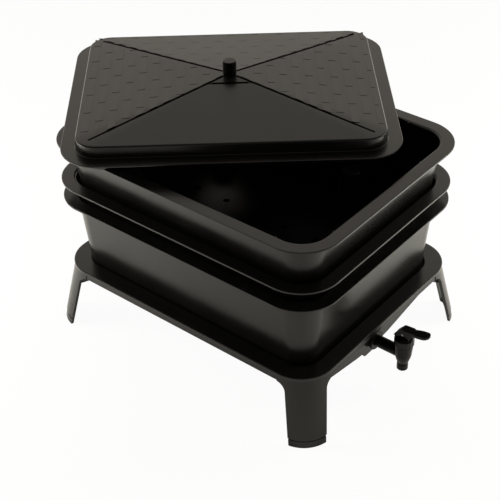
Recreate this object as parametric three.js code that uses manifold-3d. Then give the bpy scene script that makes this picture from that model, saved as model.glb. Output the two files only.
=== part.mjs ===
// A black wormery: three nesting worm trays on a legged base that drains to a tap, with a lid laid askew.
// Millimetres, +Z up. The tap is at the +X end, and the ground is z = 0.
import * as THREE from 'three';
import { mergeGeometries, mergeVertices } from 'three/addons/utils/BufferGeometryUtils.js';
import Module from 'manifold-3d';

const wasm = await Module();
wasm.setup();

// Trays: three alike, nested in each other
const rimLength = 398;
const rimWidth = 313;
const rimCornerRadius = 50;
const rimThickness = 2.6;
const rimBandWidth = 14.2;
const rimEdgeRound = 0.7;
const rimLipRadius = 4;
const trayDepth = 110.2;
const trayWall = 1.6;
const trayFloorThickness = 1.8;
const trayDraftShare = 0.09;
const trayFootRound = 3;
const nestPitch = 24.8;
const standPitch = 55.2;
const stackShiftX = -0.5;
const stackShiftY = -1.7;

// Drain holes in the tray floors
const drainRadius = 4;
const drainPitch = 46;
const drainColumns = 7;
const drainRows = 5;

// Stacking cones that stand up from the tray floors
const coneTopRadius = 13;
const coneFarX = 122;
const coneNearX = 82;
const coneY = 84;

// Gussets: three-cornered webs between rim and wall
const gussetDrop = 8.6;
const gussetThickness = 1.6;
const gussetEdgeGap = 1.2;
const gussetNose = 1.8;
const gussetLongSides = [-124, 140];
const gussetShortSides = [-95, 74];

// Base: flange, skirt, recess for the lowest tray, and a sump that falls to the tap
const baseLength = 392;
const baseWidth = 310;
const baseCornerRadius = 44.5;
const baseHeight = 89.4;
const baseWall = 2.4;
const skirtHeight = 11.3;
const skirtBandHeight = 5;
const skirtStep = 1;
const skirtEdgeRound = 1.2;
const recessDepth = 11.6;
const recessGap = 2.1;
const sumpHalfWidth = 117;
const sumpFarInset = 12;
const sumpFlatHalfWidth = 28;
const sumpTapEndMiddleDrop = 51.4;
const sumpTapEndSideDrop = 36.4;
const sumpFarEndMiddleDrop = 28.4;
const sumpFarEndSideDrop = 21.4;
const wellHalfWidth = 19;
const wellDrop = 58.9;
const wellCorner = 6;
const wellLength = 34;

// Legs: curved corner plates, splayed and tapered
const legThickness = 4;
const legSplay = 21.2;
const legFootRadius = 40;
const legFootHalfWidth = 23.9;
const legTopHalfWidth = 26;
const legFilletRadius = 10;
const legFaceInset = 0.8;
const legRootDepth = 1.2;
const footHeight = 8;
const footInset = 0.9;
const legWebReach = 18;
const legWebTaper = 2;
const legWebHeight = 25;
const legWebHeel = 7;
const legArcSteps = 8;

// Lid: flange, locating lip, raised pan with a shallow hipped top
const lidLength = 387.9;
const lidWidth = 302.9;
const lidCornerRadius = 44.3;
const lidFlangeWidth = 16.8;
const lidFlangeThickness = 2.2;
const lidWall = 2.2;
const lidLipDepth = 17.7;
const lidLipTaper = 7.5;
const lidPanHeight = 14.5;
const lidPanDraft = 0.8;
const lidPanRound = 2;
const lidHipRise = 15.2;
const lidApexShare = 0.05;
const lidGrooveWidth = 1.8;
const lidGrooveDepth = 0.9;
const lidGrooveEndX = 160;
const lidGrooveEndY = 120.5;
const lidCrossGrooveY = 20.5;
const lidTurnDegrees = 40.3;
const lidShiftX = -60.7;
const lidShiftY = 31.5;

// Lid knob and the screw that holds it
const knobRadius = 8.2;
const knobHeight = 17.25;
const knobFluteDepth = 0.55;
const knobFlutes = 14;
const knobTopRound = 1.3;
const knobScrewRadius = 2.5;
const knobScrewGrip = 11;
const screwHeadRadius = 4.8;
const screwHeadHeight = 2.8;
const screwHeadTopShare = 0.7;
const screwSlotWidth = 1.2;
const screwSlotDepth = 1.1;
const knobWasherRadius = 6.4;
const knobWasherThickness = 1.2;
const lidBossRadius = 7.5;
const lidBossDepth = 4.6;

// Tap: barrel with a level tail, screwed cap, sprung valve and thumb lever
const tapDrop = 40.9;
const tapWallReach = 31;
const tapEdgeReach = 25.13;
const tailRadius = 7.3;
const tailBoreRadius = 4.6;
const tailInside = 13;
const shoulderRadius = 12.5;
const shoulderThickness = 3.6;
const tapWasherRadius = 11;
const tapWasherThickness = 2;
const tapNutFlat = 10;
const tapNutThickness = 6;
const nozzleRadius = 6.8;
const nozzleLength = 8.5;
const nozzleLip = 0.7;
const nozzleDrop = 23;
const barrelWaistRadius = 6.3;
const barrelTopRadius = 11.6;
const barrelTop = 15;
const barrelKnee = 2.5;
const barrelKneeRadius = 10.2;
const chamberRadius = 8.4;
const chamberFloor = 4;
const outletRadius = 4.4;
const capRadius = 12.2;
const capHeight = 8.6;
const capCrownHeight = 2.6;
const capCrownRadius = 10.5;
const capFluteDepth = 0.5;
const capFlutes = 18;
const capSpigotDepth = 3.5;
const stemRadius = 2.4;
const sealRadius = 6.6;
const sealThickness = 3.4;
const sealNoseDepth = 2.2;
const stemFlangeRadius = 6.2;
const stemFlangeThickness = 1.4;
const springWireRadius = 0.5;
const springRadius = 4.6;
const springTurns = 4;
const leverPinHeight = 31.4;
const leverPinRadius = 1.4;
const leverHubWidth = 12;
const leverNeckWidth = 9.5;
const leverPaddleRadius = 6.5;
const leverReach = 33.5;
const leverHeelX = 9.6;
const leverRearX = 11.3;
const leverPeak = 6.6;
const leverPeakRearX = 3;
const leverTipRise = 11.6;
const leverPaddleThickness = 2.8;
const leverEdgeRound = 0.8;
const leverNeckRound = 6;
const leverPeakRound = 3.5;
const leverRockDegrees = 20;

// Fits
const seatGap = 0.3;
const runningGap = 0.3;
const pinClearance = 0.08;
const overrun = 2;

// Fineness
const cornerSteps = 8;
const turnSteps = 24;
const smallTurnSteps = 16;
const drainSides = 8;
const stepsPerFlute = 4;
const paddleSteps = 10;
const filletSteps = 3;
const quarterTurn = Math.PI / 2;

const blackPlastic = { color: 0x151514, roughness: 0.42, metalness: 0 };
const glossBlack = { color: 0x0b0b0b, roughness: 0.18, metalness: 0 };
const greyPlastic = { color: 0x30302f, roughness: 0.35, metalness: 0 };
const rubber = { color: 0x1b1b1b, roughness: 0.8, metalness: 0 };
const steel = { color: 0xb9bab8, roughness: 0.3, metalness: 1 };

// Solids and pieces

function toSolid(geometry) {
  const bare = geometry.clone();
  bare.deleteAttribute('normal');
  bare.deleteAttribute('uv');
  const merged = mergeVertices(bare);
  return new wasm.Manifold(new wasm.Mesh({
    numProp: 3,
    vertProperties: new Float32Array(merged.attributes.position.array),
    triVerts: new Uint32Array(merged.index.array),
  }));
}

function toGeometry(solid) {
  const mesh = solid.getMesh();
  const geometry = new THREE.BufferGeometry();
  geometry.setAttribute('position', new THREE.BufferAttribute(new Float32Array(mesh.vertProperties), 3));
  geometry.setIndex(new THREE.BufferAttribute(new Uint32Array(mesh.triVerts), 1));
  geometry.computeVertexNormals();
  return geometry;
}

function piece(name, solid, look) {
  const mesh = new THREE.Mesh(toGeometry(solid), new THREE.MeshStandardMaterial(look));
  mesh.name = name;
  return mesh;
}

// A closed solid whose skin runs through matching outlines, with flat end caps
function loft(outlines, place) {
  const count = outlines[0].length;
  const positions = [];
  const indices = [];
  outlines.forEach((outline, level) => {
    outline.forEach((point) => positions.push(...place(point, level).toArray()));
  });
  for (let level = 0; level < outlines.length - 1; level += 1) {
    for (let side = 0; side < count; side += 1) {
      const turn = (side + 1) % count;
      const near = level * count;
      const far = near + count;
      indices.push(near + side, near + turn, far + turn, near + side, far + turn, far + side);
    }
  }
  const last = (outlines.length - 1) * count;
  const firstCap = THREE.ShapeUtils.triangulateShape(outlines[0], []);
  const lastCap = THREE.ShapeUtils.triangulateShape(outlines[outlines.length - 1], []);
  firstCap.forEach(([a, b, c]) => indices.push(a, c, b));
  lastCap.forEach(([a, b, c]) => indices.push(last + a, last + b, last + c));
  const geometry = new THREE.BufferGeometry();
  geometry.setAttribute('position', new THREE.Float32BufferAttribute(positions, 3));
  geometry.setIndex(indices);
  return toSolid(geometry);
}

// Level outlines stacked at their heights
function stack(levels) {
  const heights = levels.map(([, height]) => height);
  return loft(levels.map(([outline]) => outline), (point, level) => (
    new THREE.Vector3(point.x, point.y, heights[level])
  ));
}

// A turned solid about +Z from [radius, height] pairs
function turned(profile, steps) {
  const points = profile.map(([radius, height]) => new THREE.Vector2(radius, height));
  const geometry = new THREE.LatheGeometry([...points, points[0]], steps);
  geometry.rotateX(quarterTurn);
  return toSolid(geometry);
}

function disc(radius, bottom, top, steps) {
  return turned([[0, bottom], [radius, bottom], [radius, top], [0, top]], steps);
}

function ring(outerRadius, innerRadius, bottom, top, steps) {
  const profile = [[innerRadius, bottom], [outerRadius, bottom], [outerRadius, top], [innerRadius, top]];
  return turned(profile, steps);
}

// Lays a solid that stands along +Z down along +X, from x = 0
function layAlongX(solid) {
  const geometry = toGeometry(solid);
  geometry.rotateY(quarterTurn);
  return toSolid(geometry);
}

function movedSolid(solid, x, y, z) {
  return solid.translate([x, y, z]);
}

function boxSolid(sizeX, sizeY, sizeZ, x, y, z) {
  const geometry = new THREE.BoxGeometry(sizeX, sizeY, sizeZ);
  geometry.translate(x, y, z);
  return toSolid(geometry);
}

// A closed outline from [x, y, radius] corners, each rounded by its radius
function filleted(corners) {
  const points = corners.map(([x, y]) => new THREE.Vector2(x, y));
  return points.flatMap((point, index) => {
    const toLast = points.at(index - 1).clone().sub(point).normalize();
    const toNext = points[(index + 1) % points.length].clone().sub(point).normalize();
    const halfAngle = Math.acos(toLast.dot(toNext)) / 2;
    const radius = corners[index][2];
    const centreReach = radius / Math.sin(halfAngle);
    const inward = toLast.clone().add(toNext).normalize();
    const centre = point.clone().addScaledVector(inward, centreReach);
    const from = point.clone().addScaledVector(toLast, radius / Math.tan(halfAngle)).sub(centre);
    const to = point.clone().addScaledVector(toNext, radius / Math.tan(halfAngle)).sub(centre);
    return Array.from({ length: filletSteps + 1 }, (_, step) => (
      from.clone().lerp(to, step / filletSteps).setLength(radius).add(centre)
    ));
  });
}

// An outline in the XZ plane, as wide as given across Y and centred there
function sideExtrusion(points, width) {
  const shape = new THREE.Shape(points);
  const geometry = new THREE.ExtrudeGeometry(shape, { depth: width, bevelEnabled: false });
  geometry.rotateX(quarterTurn);
  geometry.translate(0, width / 2, 0);
  return toSolid(geometry);
}

// Rounded rectangles, anticlockwise

const cornerSigns = [[1, -1], [1, 1], [-1, 1], [-1, -1]];

function roundedRectangle(plan, inset) {
  const radius = plan.radius - inset;
  return cornerSigns.flatMap(([signX, signY], corner) => (
    Array.from({ length: cornerSteps + 1 }, (_, step) => {
      const angle = (corner - 1 + step / cornerSteps) * quarterTurn;
      const x = signX * (plan.length / 2 - plan.radius) + radius * Math.cos(angle);
      const y = signY * (plan.width / 2 - plan.radius) + radius * Math.sin(angle);
      return new THREE.Vector2(x, y);
    })
  ));
}

const trayPlan = { length: rimLength, width: rimWidth, radius: rimCornerRadius };
const basePlan = { length: baseLength, width: baseWidth, radius: baseCornerRadius };
const lidPlan = { length: lidLength, width: lidWidth, radius: lidCornerRadius };

// How far the tray wall's faces stand in from the rim's edge, at a height above the floor's underside
function trayInnerInset(height) {
  return rimBandWidth + rimLipRadius + trayDraftShare * (trayDepth - height);
}

function trayOuterInset(height) {
  return trayInnerInset(height) - trayWall;
}

// Trays

const coneHeight = standPitch - seatGap;
const coneTaperShare = (trayWall + seatGap) / nestPitch;
const conePlaces = [
  [coneFarX, coneY],
  [-coneNearX, coneY],
  [coneFarX, -coneY],
  [-coneNearX, -coneY],
];

function trayShell() {
  const outer = (height, extra) => [roundedRectangle(trayPlan, trayOuterInset(height) + extra), height];
  const inner = (height, extra) => [roundedRectangle(trayPlan, trayInnerInset(height) + extra), height];
  const atRim = (inset, drop) => [roundedRectangle(trayPlan, inset), trayDepth - drop];
  const lipSteps = 3;
  const lip = Array.from({ length: lipSteps + 1 }, (_, step) => {
    const angle = (step / lipSteps) * quarterTurn;
    const reach = rimBandWidth + rimLipRadius * Math.sin(angle);
    return atRim(reach, rimLipRadius * (1 - Math.cos(angle)));
  });
  return stack([
    outer(0, trayFootRound),
    outer(trayFootRound, 0),
    outer(trayDepth - rimThickness, 0),
    atRim(0, rimThickness),
    atRim(0, rimEdgeRound),
    atRim(rimEdgeRound, 0),
    ...lip,
    inner(trayFloorThickness + trayFootRound, 0),
    inner(trayFloorThickness, trayFootRound),
  ]);
}

// A cone that stands on the floor, hollow and open below
function stackingCone() {
  const radiusAt = (height) => coneTopRadius + coneTaperShare * (coneHeight - height);
  const skinThickness = trayWall;
  const outline = [[0, 0], [radiusAt(0), 0], [coneTopRadius, coneHeight], [0, coneHeight]];
  const body = turned(outline, smallTurnSteps);
  const ceiling = coneHeight - skinThickness;
  const hollow = turned([
    [0, -overrun],
    [radiusAt(-overrun) - skinThickness, -overrun],
    [radiusAt(ceiling) - skinThickness, ceiling],
    [0, ceiling],
  ], smallTurnSteps);
  return { body, hollow };
}

function trayGussets() {
  const top = trayDepth - rimThickness / 2;
  const gusset = (along, halfSize, side) => {
    const innerEnd = halfSize - trayOuterInset(trayDepth - gussetDrop) - trayWall / 2;
    const geometry = toGeometry(sideExtrusion([
      new THREE.Vector2(innerEnd, trayDepth - gussetDrop),
      new THREE.Vector2(innerEnd + trayWall, trayDepth - gussetDrop),
      new THREE.Vector2(halfSize - gussetEdgeGap, top - gussetNose),
      new THREE.Vector2(halfSize - gussetEdgeGap, top),
      new THREE.Vector2(innerEnd, top),
    ], gussetThickness));
    geometry.translate(0, along, 0);
    geometry.rotateZ(side * quarterTurn);
    return toSolid(geometry);
  };
  return [0, 2].flatMap((side) => [
    ...gussetShortSides.map((along) => gusset(along, rimLength / 2, side)),
    ...gussetLongSides.map((along) => gusset(along, rimWidth / 2, side + 1)),
  ]);
}

function drainPins() {
  const pins = [];
  const coneReach = coneTopRadius + coneTaperShare * coneHeight + drainRadius + trayWall;
  for (let column = 0; column < drainColumns; column += 1) {
    for (let row = 0; row < drainRows; row += 1) {
      const x = (column - (drainColumns - 1) / 2) * drainPitch;
      const y = (row - (drainRows - 1) / 2) * drainPitch;
      const isClear = conePlaces.every(([coneX, coneAcross]) => (
        Math.hypot(x - coneX, y - coneAcross) > coneReach
      ));
      if (isClear) {
        const height = trayFloorThickness + 2 * overrun;
        const pin = new THREE.CylinderGeometry(drainRadius, drainRadius, height, drainSides);
        pin.rotateX(quarterTurn);
        pin.translate(x, y, trayFloorThickness / 2);
        pins.push(pin);
      }
    }
  }
  return toSolid(mergeGeometries(pins));
}

function traySolid() {
  const cone = stackingCone();
  let solid = trayShell();
  trayGussets().forEach((gusset) => {
    solid = solid.add(gusset);
  });
  conePlaces.forEach(([x, y]) => {
    solid = solid.add(movedSolid(cone.body, x, y, 0));
  });
  conePlaces.forEach(([x, y]) => {
    solid = solid.subtract(movedSolid(cone.hollow, x, y, 0));
  });
  return solid.subtract(drainPins());
}

// Base

const trayBottom = baseHeight - recessDepth + seatGap;
const recessInset = trayOuterInset(recessDepth) - recessGap;
const recessHalfLength = rimLength / 2 - recessInset;
const tapWallX = recessHalfLength + baseWall;
const skirtBottom = baseHeight - skirtHeight;
const bandBottom = baseHeight - skirtBandHeight;
const tapHeight = baseHeight - tapDrop;

// The barrel stands clear of both the recess's end wall and the flange's edge
const tapReach = Math.max(tapWallReach, baseLength / 2 + tapEdgeReach - tapWallX);

// The sump's body below the recess, drawn as sections across Y that change along X; inset leaves its inside
function sumpBody(inset, top) {
  const halfWidth = sumpHalfWidth - inset;
  const farX = sumpFarInset - recessHalfLength + inset;
  const section = (side, middle) => [
    new THREE.Vector2(halfWidth, side + inset),
    new THREE.Vector2(halfWidth, top),
    new THREE.Vector2(-halfWidth, top),
    new THREE.Vector2(-halfWidth, side + inset),
    new THREE.Vector2(-sumpFlatHalfWidth, middle + inset),
    new THREE.Vector2(sumpFlatHalfWidth, middle + inset),
  ];
  const ends = [farX, tapWallX - inset];
  const outlines = [
    section(baseHeight - sumpFarEndSideDrop, baseHeight - sumpFarEndMiddleDrop),
    section(baseHeight - sumpTapEndSideDrop, baseHeight - sumpTapEndMiddleDrop),
  ];
  return loft(outlines, (point, level) => new THREE.Vector3(ends[level], point.x, point.y));
}

// The drain well at the tap end of the sump, with its lower corners cut off; inset leaves its inside
function drainWell(inset, top) {
  const half = wellHalfWidth - inset;
  const bottom = baseHeight - wellDrop + inset;
  const outline = [
    new THREE.Vector2(half, bottom + wellCorner),
    new THREE.Vector2(half, top),
    new THREE.Vector2(-half, top),
    new THREE.Vector2(-half, bottom + wellCorner),
    new THREE.Vector2(-half + wellCorner, bottom),
    new THREE.Vector2(half - wellCorner, bottom),
  ];
  const ends = [tapWallX - wellLength + inset, tapWallX - inset];
  return loft([outline, outline], (point, level) => new THREE.Vector3(ends[level], point.x, point.y));
}

function skirtShell() {
  const outer = (inset, drop) => [roundedRectangle(basePlan, inset), baseHeight - drop];
  const underside = baseHeight - baseWall;
  const slab = stack([
    outer(skirtStep, skirtHeight),
    outer(skirtStep, skirtBandHeight),
    outer(0, skirtBandHeight),
    outer(0, skirtEdgeRound),
    outer(skirtEdgeRound, 0),
  ]);
  const hollow = stack([
    [roundedRectangle(basePlan, skirtStep + baseWall), skirtBottom - overrun],
    [roundedRectangle(basePlan, skirtStep + baseWall), underside],
  ]);
  const tub = stack([
    [roundedRectangle(trayPlan, recessInset - baseWall), baseHeight - recessDepth - baseWall],
    [roundedRectangle(trayPlan, recessInset - baseWall), underside + baseWall / 2],
  ]);
  return slab.subtract(hollow).add(tub);
}

// A point on a rounded corner with straight tails, by its distance from the corner's middle
function cornerPoint(centreX, centreY, radius, along, depth) {
  const turn = THREE.MathUtils.clamp(along / radius, -quarterTurn / 2, quarterTurn / 2);
  const angle = quarterTurn / 2 + turn;
  const tail = along - turn * radius;
  const reach = radius - depth;
  const x = centreX + reach * Math.cos(angle) - tail * Math.sin(angle);
  const y = centreY + reach * Math.sin(angle) + tail * Math.cos(angle);
  return new THREE.Vector2(x, y);
}

// The leg's face at a height: its half width, its corner radius and how far out its corner's centre has moved
function legAt(height) {
  const share = Math.min(height / bandBottom, 1);
  const topRadius = baseCornerRadius - legFaceInset;
  const climb = THREE.MathUtils.clamp((height - skirtBottom + legFilletRadius) / legFilletRadius, 0, 1);
  const fillet = legFilletRadius * (1 - Math.sqrt(1 - climb * climb));
  const radius = THREE.MathUtils.lerp(legFootRadius, topRadius, share);
  return {
    halfWidth: THREE.MathUtils.lerp(legFootHalfWidth, legTopHalfWidth, share) + fillet,
    radius,
    reach: legSplay * (1 - share) + topRadius - radius,
  };
}

function legArc(height, depth, squeeze) {
  const { halfWidth, radius, reach } = legAt(height);
  const centreX = baseLength / 2 - baseCornerRadius + reach / Math.SQRT2;
  const centreY = baseWidth / 2 - baseCornerRadius + reach / Math.SQRT2;
  return Array.from({ length: legArcSteps + 1 }, (_, step) => {
    const along = (halfWidth - squeeze) * (2 * step / legArcSteps - 1);
    return cornerPoint(centreX, centreY, radius, along, depth);
  });
}

function legSolid() {
  const filletShares = [1, 0.7, 0.42, 0.2, 0.06, 0];
  const heights = [
    0,
    ...filletShares.map((share) => skirtBottom - share * legFilletRadius),
    bandBottom,
    bandBottom + legRootDepth,
  ];
  const plate = stack(heights.map((height) => (
    [[...legArc(height, 0, 0), ...legArc(height, legThickness, 0).reverse()], height]
  )));
  // The foot is a flat-backed pad that closes the leg's lower end, set in a little from its face
  const foot = stack([0, footHeight].map((height) => [legArc(height, footInset, 0), height]));
  const trim = stack([-overrun, footHeight].map((height) => {
    const outside = legArc(Math.max(height, 0), -overrun, -overrun);
    const face = legArc(Math.max(height, 0), footInset, -overrun);
    return [[...outside, ...face.reverse()], height];
  }));
  return plate.subtract(trim).add(foot).add(legWeb());
}

// A stiffening web on the corner's diagonal, from the flange's underside down the inside of the leg
function legWeb() {
  const top = baseHeight - baseWall / 2;
  const heelHeight = skirtBottom - legWebHeight - legWebHeel;
  const { radius, reach } = legAt(heelHeight);
  const reachTop = baseCornerRadius - skirtStep - baseWall / 2;
  const points = [
    new THREE.Vector2(reachTop, top),
    new THREE.Vector2(reachTop - legWebReach, top),
    new THREE.Vector2(reachTop - legWebReach + legWebTaper, skirtBottom - legWebHeight),
    new THREE.Vector2(reach + radius - legThickness / 2, heelHeight),
  ];
  const geometry = toGeometry(sideExtrusion(points, baseWall));
  geometry.rotateZ(quarterTurn / 2);
  geometry.translate(baseLength / 2 - baseCornerRadius, baseWidth / 2 - baseCornerRadius, 0);
  return toSolid(geometry);
}

function baseSolid() {
  const recessFloor = baseHeight - recessDepth;
  const recess = stack([
    [roundedRectangle(trayPlan, recessInset), recessFloor],
    [roundedRectangle(trayPlan, recessInset), baseHeight + overrun],
  ]);
  const tapHole = movedSolid(
    layAlongX(disc(tailRadius + runningGap, -overrun - baseWall, overrun, turnSteps)),
    tapWallX,
    0,
    tapHeight,
  );
  const leg = legSolid();
  const wellTop = baseHeight - sumpTapEndSideDrop;
  let solid = skirtShell().add(sumpBody(0, recessFloor)).add(drainWell(0, wellTop));
  solid = solid
    .subtract(recess)
    .subtract(sumpBody(baseWall, recessFloor + overrun))
    .subtract(drainWell(baseWall, wellTop))
    .subtract(tapHole);
  [[1, 1], [-1, 1], [-1, -1], [1, -1]].forEach(([signX, signY]) => {
    const flips = [signX < 0 ? [1, 0, 0] : null, signY < 0 ? [0, 1, 0] : null].filter(Boolean);
    solid = solid.add(flips.reduce((kept, normal) => kept.mirror(normal), leg));
  });
  return solid;
}

// Lid, in its own frame: its lip's lower edge is z = 0

const lidFlangeTop = lidLipDepth + lidFlangeThickness;
const lidPanTop = lidFlangeTop + lidPanHeight;
const lidPlatform = lidPanTop + lidHipRise * (1 - lidApexShare);
const panPlan = {
  length: lidLength - 2 * lidFlangeWidth,
  width: lidWidth - 2 * lidFlangeWidth,
  radius: lidCornerRadius - lidFlangeWidth,
};

// The hipped top at a share of the way from the middle to the pan's edge, sunk by a depth
function hipRing(inset, share, depth) {
  const outline = roundedRectangle(panPlan, inset).map((point) => point.multiplyScalar(share));
  return [outline, lidPanTop + lidHipRise * (1 - share) - depth];
}

function lidGroove(fromX, fromY, toX, toY, fromHeight, toHeight) {
  const from = new THREE.Vector3(fromX, fromY, fromHeight);
  const to = new THREE.Vector3(toX, toY, toHeight);
  const geometry = new THREE.BoxGeometry(from.distanceTo(to), lidGrooveWidth, 2 * lidGrooveDepth);
  geometry.applyQuaternion(new THREE.Quaternion().setFromUnitVectors(
    new THREE.Vector3(1, 0, 0),
    to.clone().sub(from).normalize(),
  ));
  const middle = from.add(to).multiplyScalar(0.5);
  geometry.translate(middle.x, middle.y, middle.z);
  return toSolid(geometry);
}

// Height of the hipped top over a point, by how far out it is towards the pan's edge
function hipHeight(x, y) {
  const share = Math.max(
    Math.abs(x) / (panPlan.length / 2 - lidPanDraft - lidPanRound),
    Math.abs(y) / (panPlan.width / 2 - lidPanDraft - lidPanRound),
  );
  return lidPanTop + lidHipRise * (1 - share);
}

function lidGrooves() {
  const startShare = (knobRadius + lidGrooveWidth) / Math.hypot(lidGrooveEndX, lidGrooveEndY);
  const grooves = cornerSigns.map(([signX, signY]) => {
    const endX = signX * lidGrooveEndX;
    const endY = signY * lidGrooveEndY;
    const startX = endX * startShare;
    const startY = endY * startShare;
    return lidGroove(startX, startY, endX, endY, hipHeight(startX, startY), hipHeight(endX, endY));
  });
  const crossX = lidCrossGrooveY * lidGrooveEndX / lidGrooveEndY;
  const crossHeight = hipHeight(0, lidCrossGrooveY);
  const cross = lidGroove(-crossX, -lidCrossGrooveY, crossX, -lidCrossGrooveY, crossHeight, crossHeight);
  return [...grooves, cross];
}

const lidBossBottom = lidPlatform - lidWall - lidBossDepth;

function lidSolid() {
  const onPan = (inset, height) => [roundedRectangle(panPlan, inset), height];
  const onFlange = (inset, height) => [roundedRectangle(lidPlan, inset), height];
  const roundSteps = 3;
  const shoulder = Array.from({ length: roundSteps + 1 }, (_, step) => {
    const angle = (step / roundSteps) * quarterTurn;
    return onPan(
      lidPanDraft + lidPanRound * (1 - Math.cos(angle)),
      lidPanTop - lidPanRound * (1 - Math.sin(angle)),
    );
  });
  const innerEdge = lidPanDraft + lidPanRound;
  let solid = stack([
    hipRing(innerEdge, lidApexShare, lidWall),
    hipRing(innerEdge, 1, lidWall),
    onPan(lidWall + lidPanDraft, lidPanTop - lidWall - lidPanRound / 2),
    onPan(lidWall, lidLipDepth),
    onPan(lidWall + lidLipTaper, 0),
    onPan(lidLipTaper, 0),
    onPan(0, lidLipDepth),
    onFlange(0, lidLipDepth),
    onFlange(0, lidFlangeTop - rimEdgeRound),
    onFlange(rimEdgeRound, lidFlangeTop),
    onPan(0, lidFlangeTop),
    ...shoulder,
    hipRing(innerEdge, lidApexShare, 0),
  ]);
  lidGrooves().forEach((groove) => {
    solid = solid.subtract(groove);
  });
  solid = solid.add(disc(lidBossRadius, lidBossBottom, lidPlatform - lidWall / 2, turnSteps));
  return solid.subtract(disc(knobScrewRadius + runningGap, 0, lidPlatform + overrun, smallTurnSteps));
}

// A round outline with shallow flutes, at a share of its full size
function flutedOutline(radius, depth, flutes, share) {
  const steps = flutes * stepsPerFlute;
  return Array.from({ length: steps }, (_, step) => {
    const angle = (step / steps) * 2 * Math.PI;
    const reach = (radius - depth / 2 + (depth / 2) * Math.cos(flutes * angle)) * share;
    return new THREE.Vector2(reach * Math.cos(angle), reach * Math.sin(angle));
  });
}

function knobSolid() {
  const outline = (share) => flutedOutline(knobRadius, knobFluteDepth, knobFlutes, share);
  const topShare = 1 - knobTopRound / knobRadius;
  const body = stack([
    [outline(1), 0],
    [outline(1), knobHeight - knobTopRound],
    [outline(topShare), knobHeight],
  ]);
  return body.subtract(disc(knobScrewRadius + runningGap, -overrun, knobScrewGrip + seatGap, smallTurnSteps));
}

// The knob's screw, with its head's top at z = 0 and its shank upwards
function knobScrewSolid() {
  const shankTop = knobScrewGrip + lidPlatform - lidBossBottom + knobWasherThickness + 2 * seatGap;
  const solid = turned([
    [0, -screwHeadHeight],
    [screwHeadRadius * screwHeadTopShare, -screwHeadHeight],
    [screwHeadRadius, -screwHeadHeight / 2],
    [screwHeadRadius, 0],
    [knobScrewRadius, 0],
    [knobScrewRadius, shankTop],
    [0, shankTop],
  ], smallTurnSteps);
  const slotLength = 2 * screwHeadRadius + overrun;
  return solid.subtract(boxSolid(slotLength, screwSlotWidth, 2 * screwSlotDepth, 0, 0, -screwHeadHeight));
}

// Tap, in its own frame: the barrel's axis is z, and the tail's axis is x at z = 0

function hexagon(flat) {
  const reach = flat / Math.cos(Math.PI / 6);
  return Array.from({ length: 6 }, (_, corner) => {
    const angle = (corner + 0.5) * Math.PI / 3;
    return new THREE.Vector2(reach * Math.cos(angle), reach * Math.sin(angle));
  });
}

const seatTop = -chamberFloor;
const tailLength = tapReach + baseWall + tailInside;
const shoulderX = -tapReach + tapWasherThickness + 2 * seatGap;

function tapBodySolid() {
  const barrel = turned([
    [0, -nozzleDrop],
    [nozzleRadius - nozzleLip, -nozzleDrop],
    [nozzleRadius, -nozzleDrop + nozzleLip],
    [nozzleRadius, -nozzleDrop + nozzleLength],
    [barrelWaistRadius, -nozzleDrop + nozzleLength + nozzleLip],
    [barrelWaistRadius, -nozzleDrop + nozzleLength + 2 * nozzleLip],
    [barrelKneeRadius, barrelKnee],
    [barrelTopRadius, barrelTop],
    [0, barrelTop],
  ], turnSteps);
  const tail = movedSolid(layAlongX(disc(tailRadius, 0, tailLength, turnSteps)), -tailLength, 0, 0);
  const collar = layAlongX(disc(shoulderRadius, 0, shoulderThickness, turnSteps));
  const shoulder = movedSolid(collar, shoulderX, 0, 0);
  const boreLength = tailLength + overrun;
  const bore = movedSolid(layAlongX(disc(tailBoreRadius, 0, boreLength, smallTurnSteps)), -boreLength, 0, 0);
  const chamber = turned([
    [0, -nozzleDrop - overrun],
    [outletRadius, -nozzleDrop - overrun],
    [outletRadius, seatTop - sealNoseDepth],
    [chamberRadius, seatTop],
    [chamberRadius, barrelTop + overrun],
    [0, barrelTop + overrun],
  ], turnSteps);
  return barrel.add(tail).add(shoulder).subtract(bore).subtract(chamber);
}

const capBottom = barrelTop + seatGap;
const capTop = capBottom + capHeight + capCrownHeight;

function tapCapSolid() {
  const outline = (radius) => flutedOutline(radius, capFluteDepth, capFlutes, 1);
  const body = stack([
    [outline(capRadius), capBottom],
    [outline(capRadius), capBottom + capHeight],
    [outline(capCrownRadius), capTop],
  ]);
  const spigotBottom = capBottom - capSpigotDepth;
  const spigot = disc(chamberRadius - runningGap, spigotBottom, capBottom + capHeight, turnSteps);
  return body.add(spigot).subtract(disc(stemRadius + runningGap, -overrun, capTop + overrun, smallTurnSteps));
}

const sealBottom = seatTop + seatGap;
const stemFlangeBottom = sealBottom + sealThickness + seatGap;
const springBottom = stemFlangeBottom + stemFlangeThickness + seatGap;
const springTop = capBottom - capSpigotDepth - seatGap;

const stemEyeReach = leverPinRadius + stemRadius / 2;

function stemSolid() {
  const rod = disc(stemRadius, sealBottom + seatGap, leverPinHeight + stemEyeReach, smallTurnSteps);
  const flange = disc(stemFlangeRadius, stemFlangeBottom, stemFlangeBottom + stemFlangeThickness, turnSteps);
  return rod.add(flange).subtract(pinSolid(leverPinRadius + pinClearance, leverHubWidth));
}

// A round pin across Y at the lever's pivot
function pinSolid(radius, length) {
  const geometry = new THREE.CylinderGeometry(radius, radius, length, smallTurnSteps);
  geometry.translate(0, 0, leverPinHeight);
  return toSolid(geometry);
}

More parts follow.
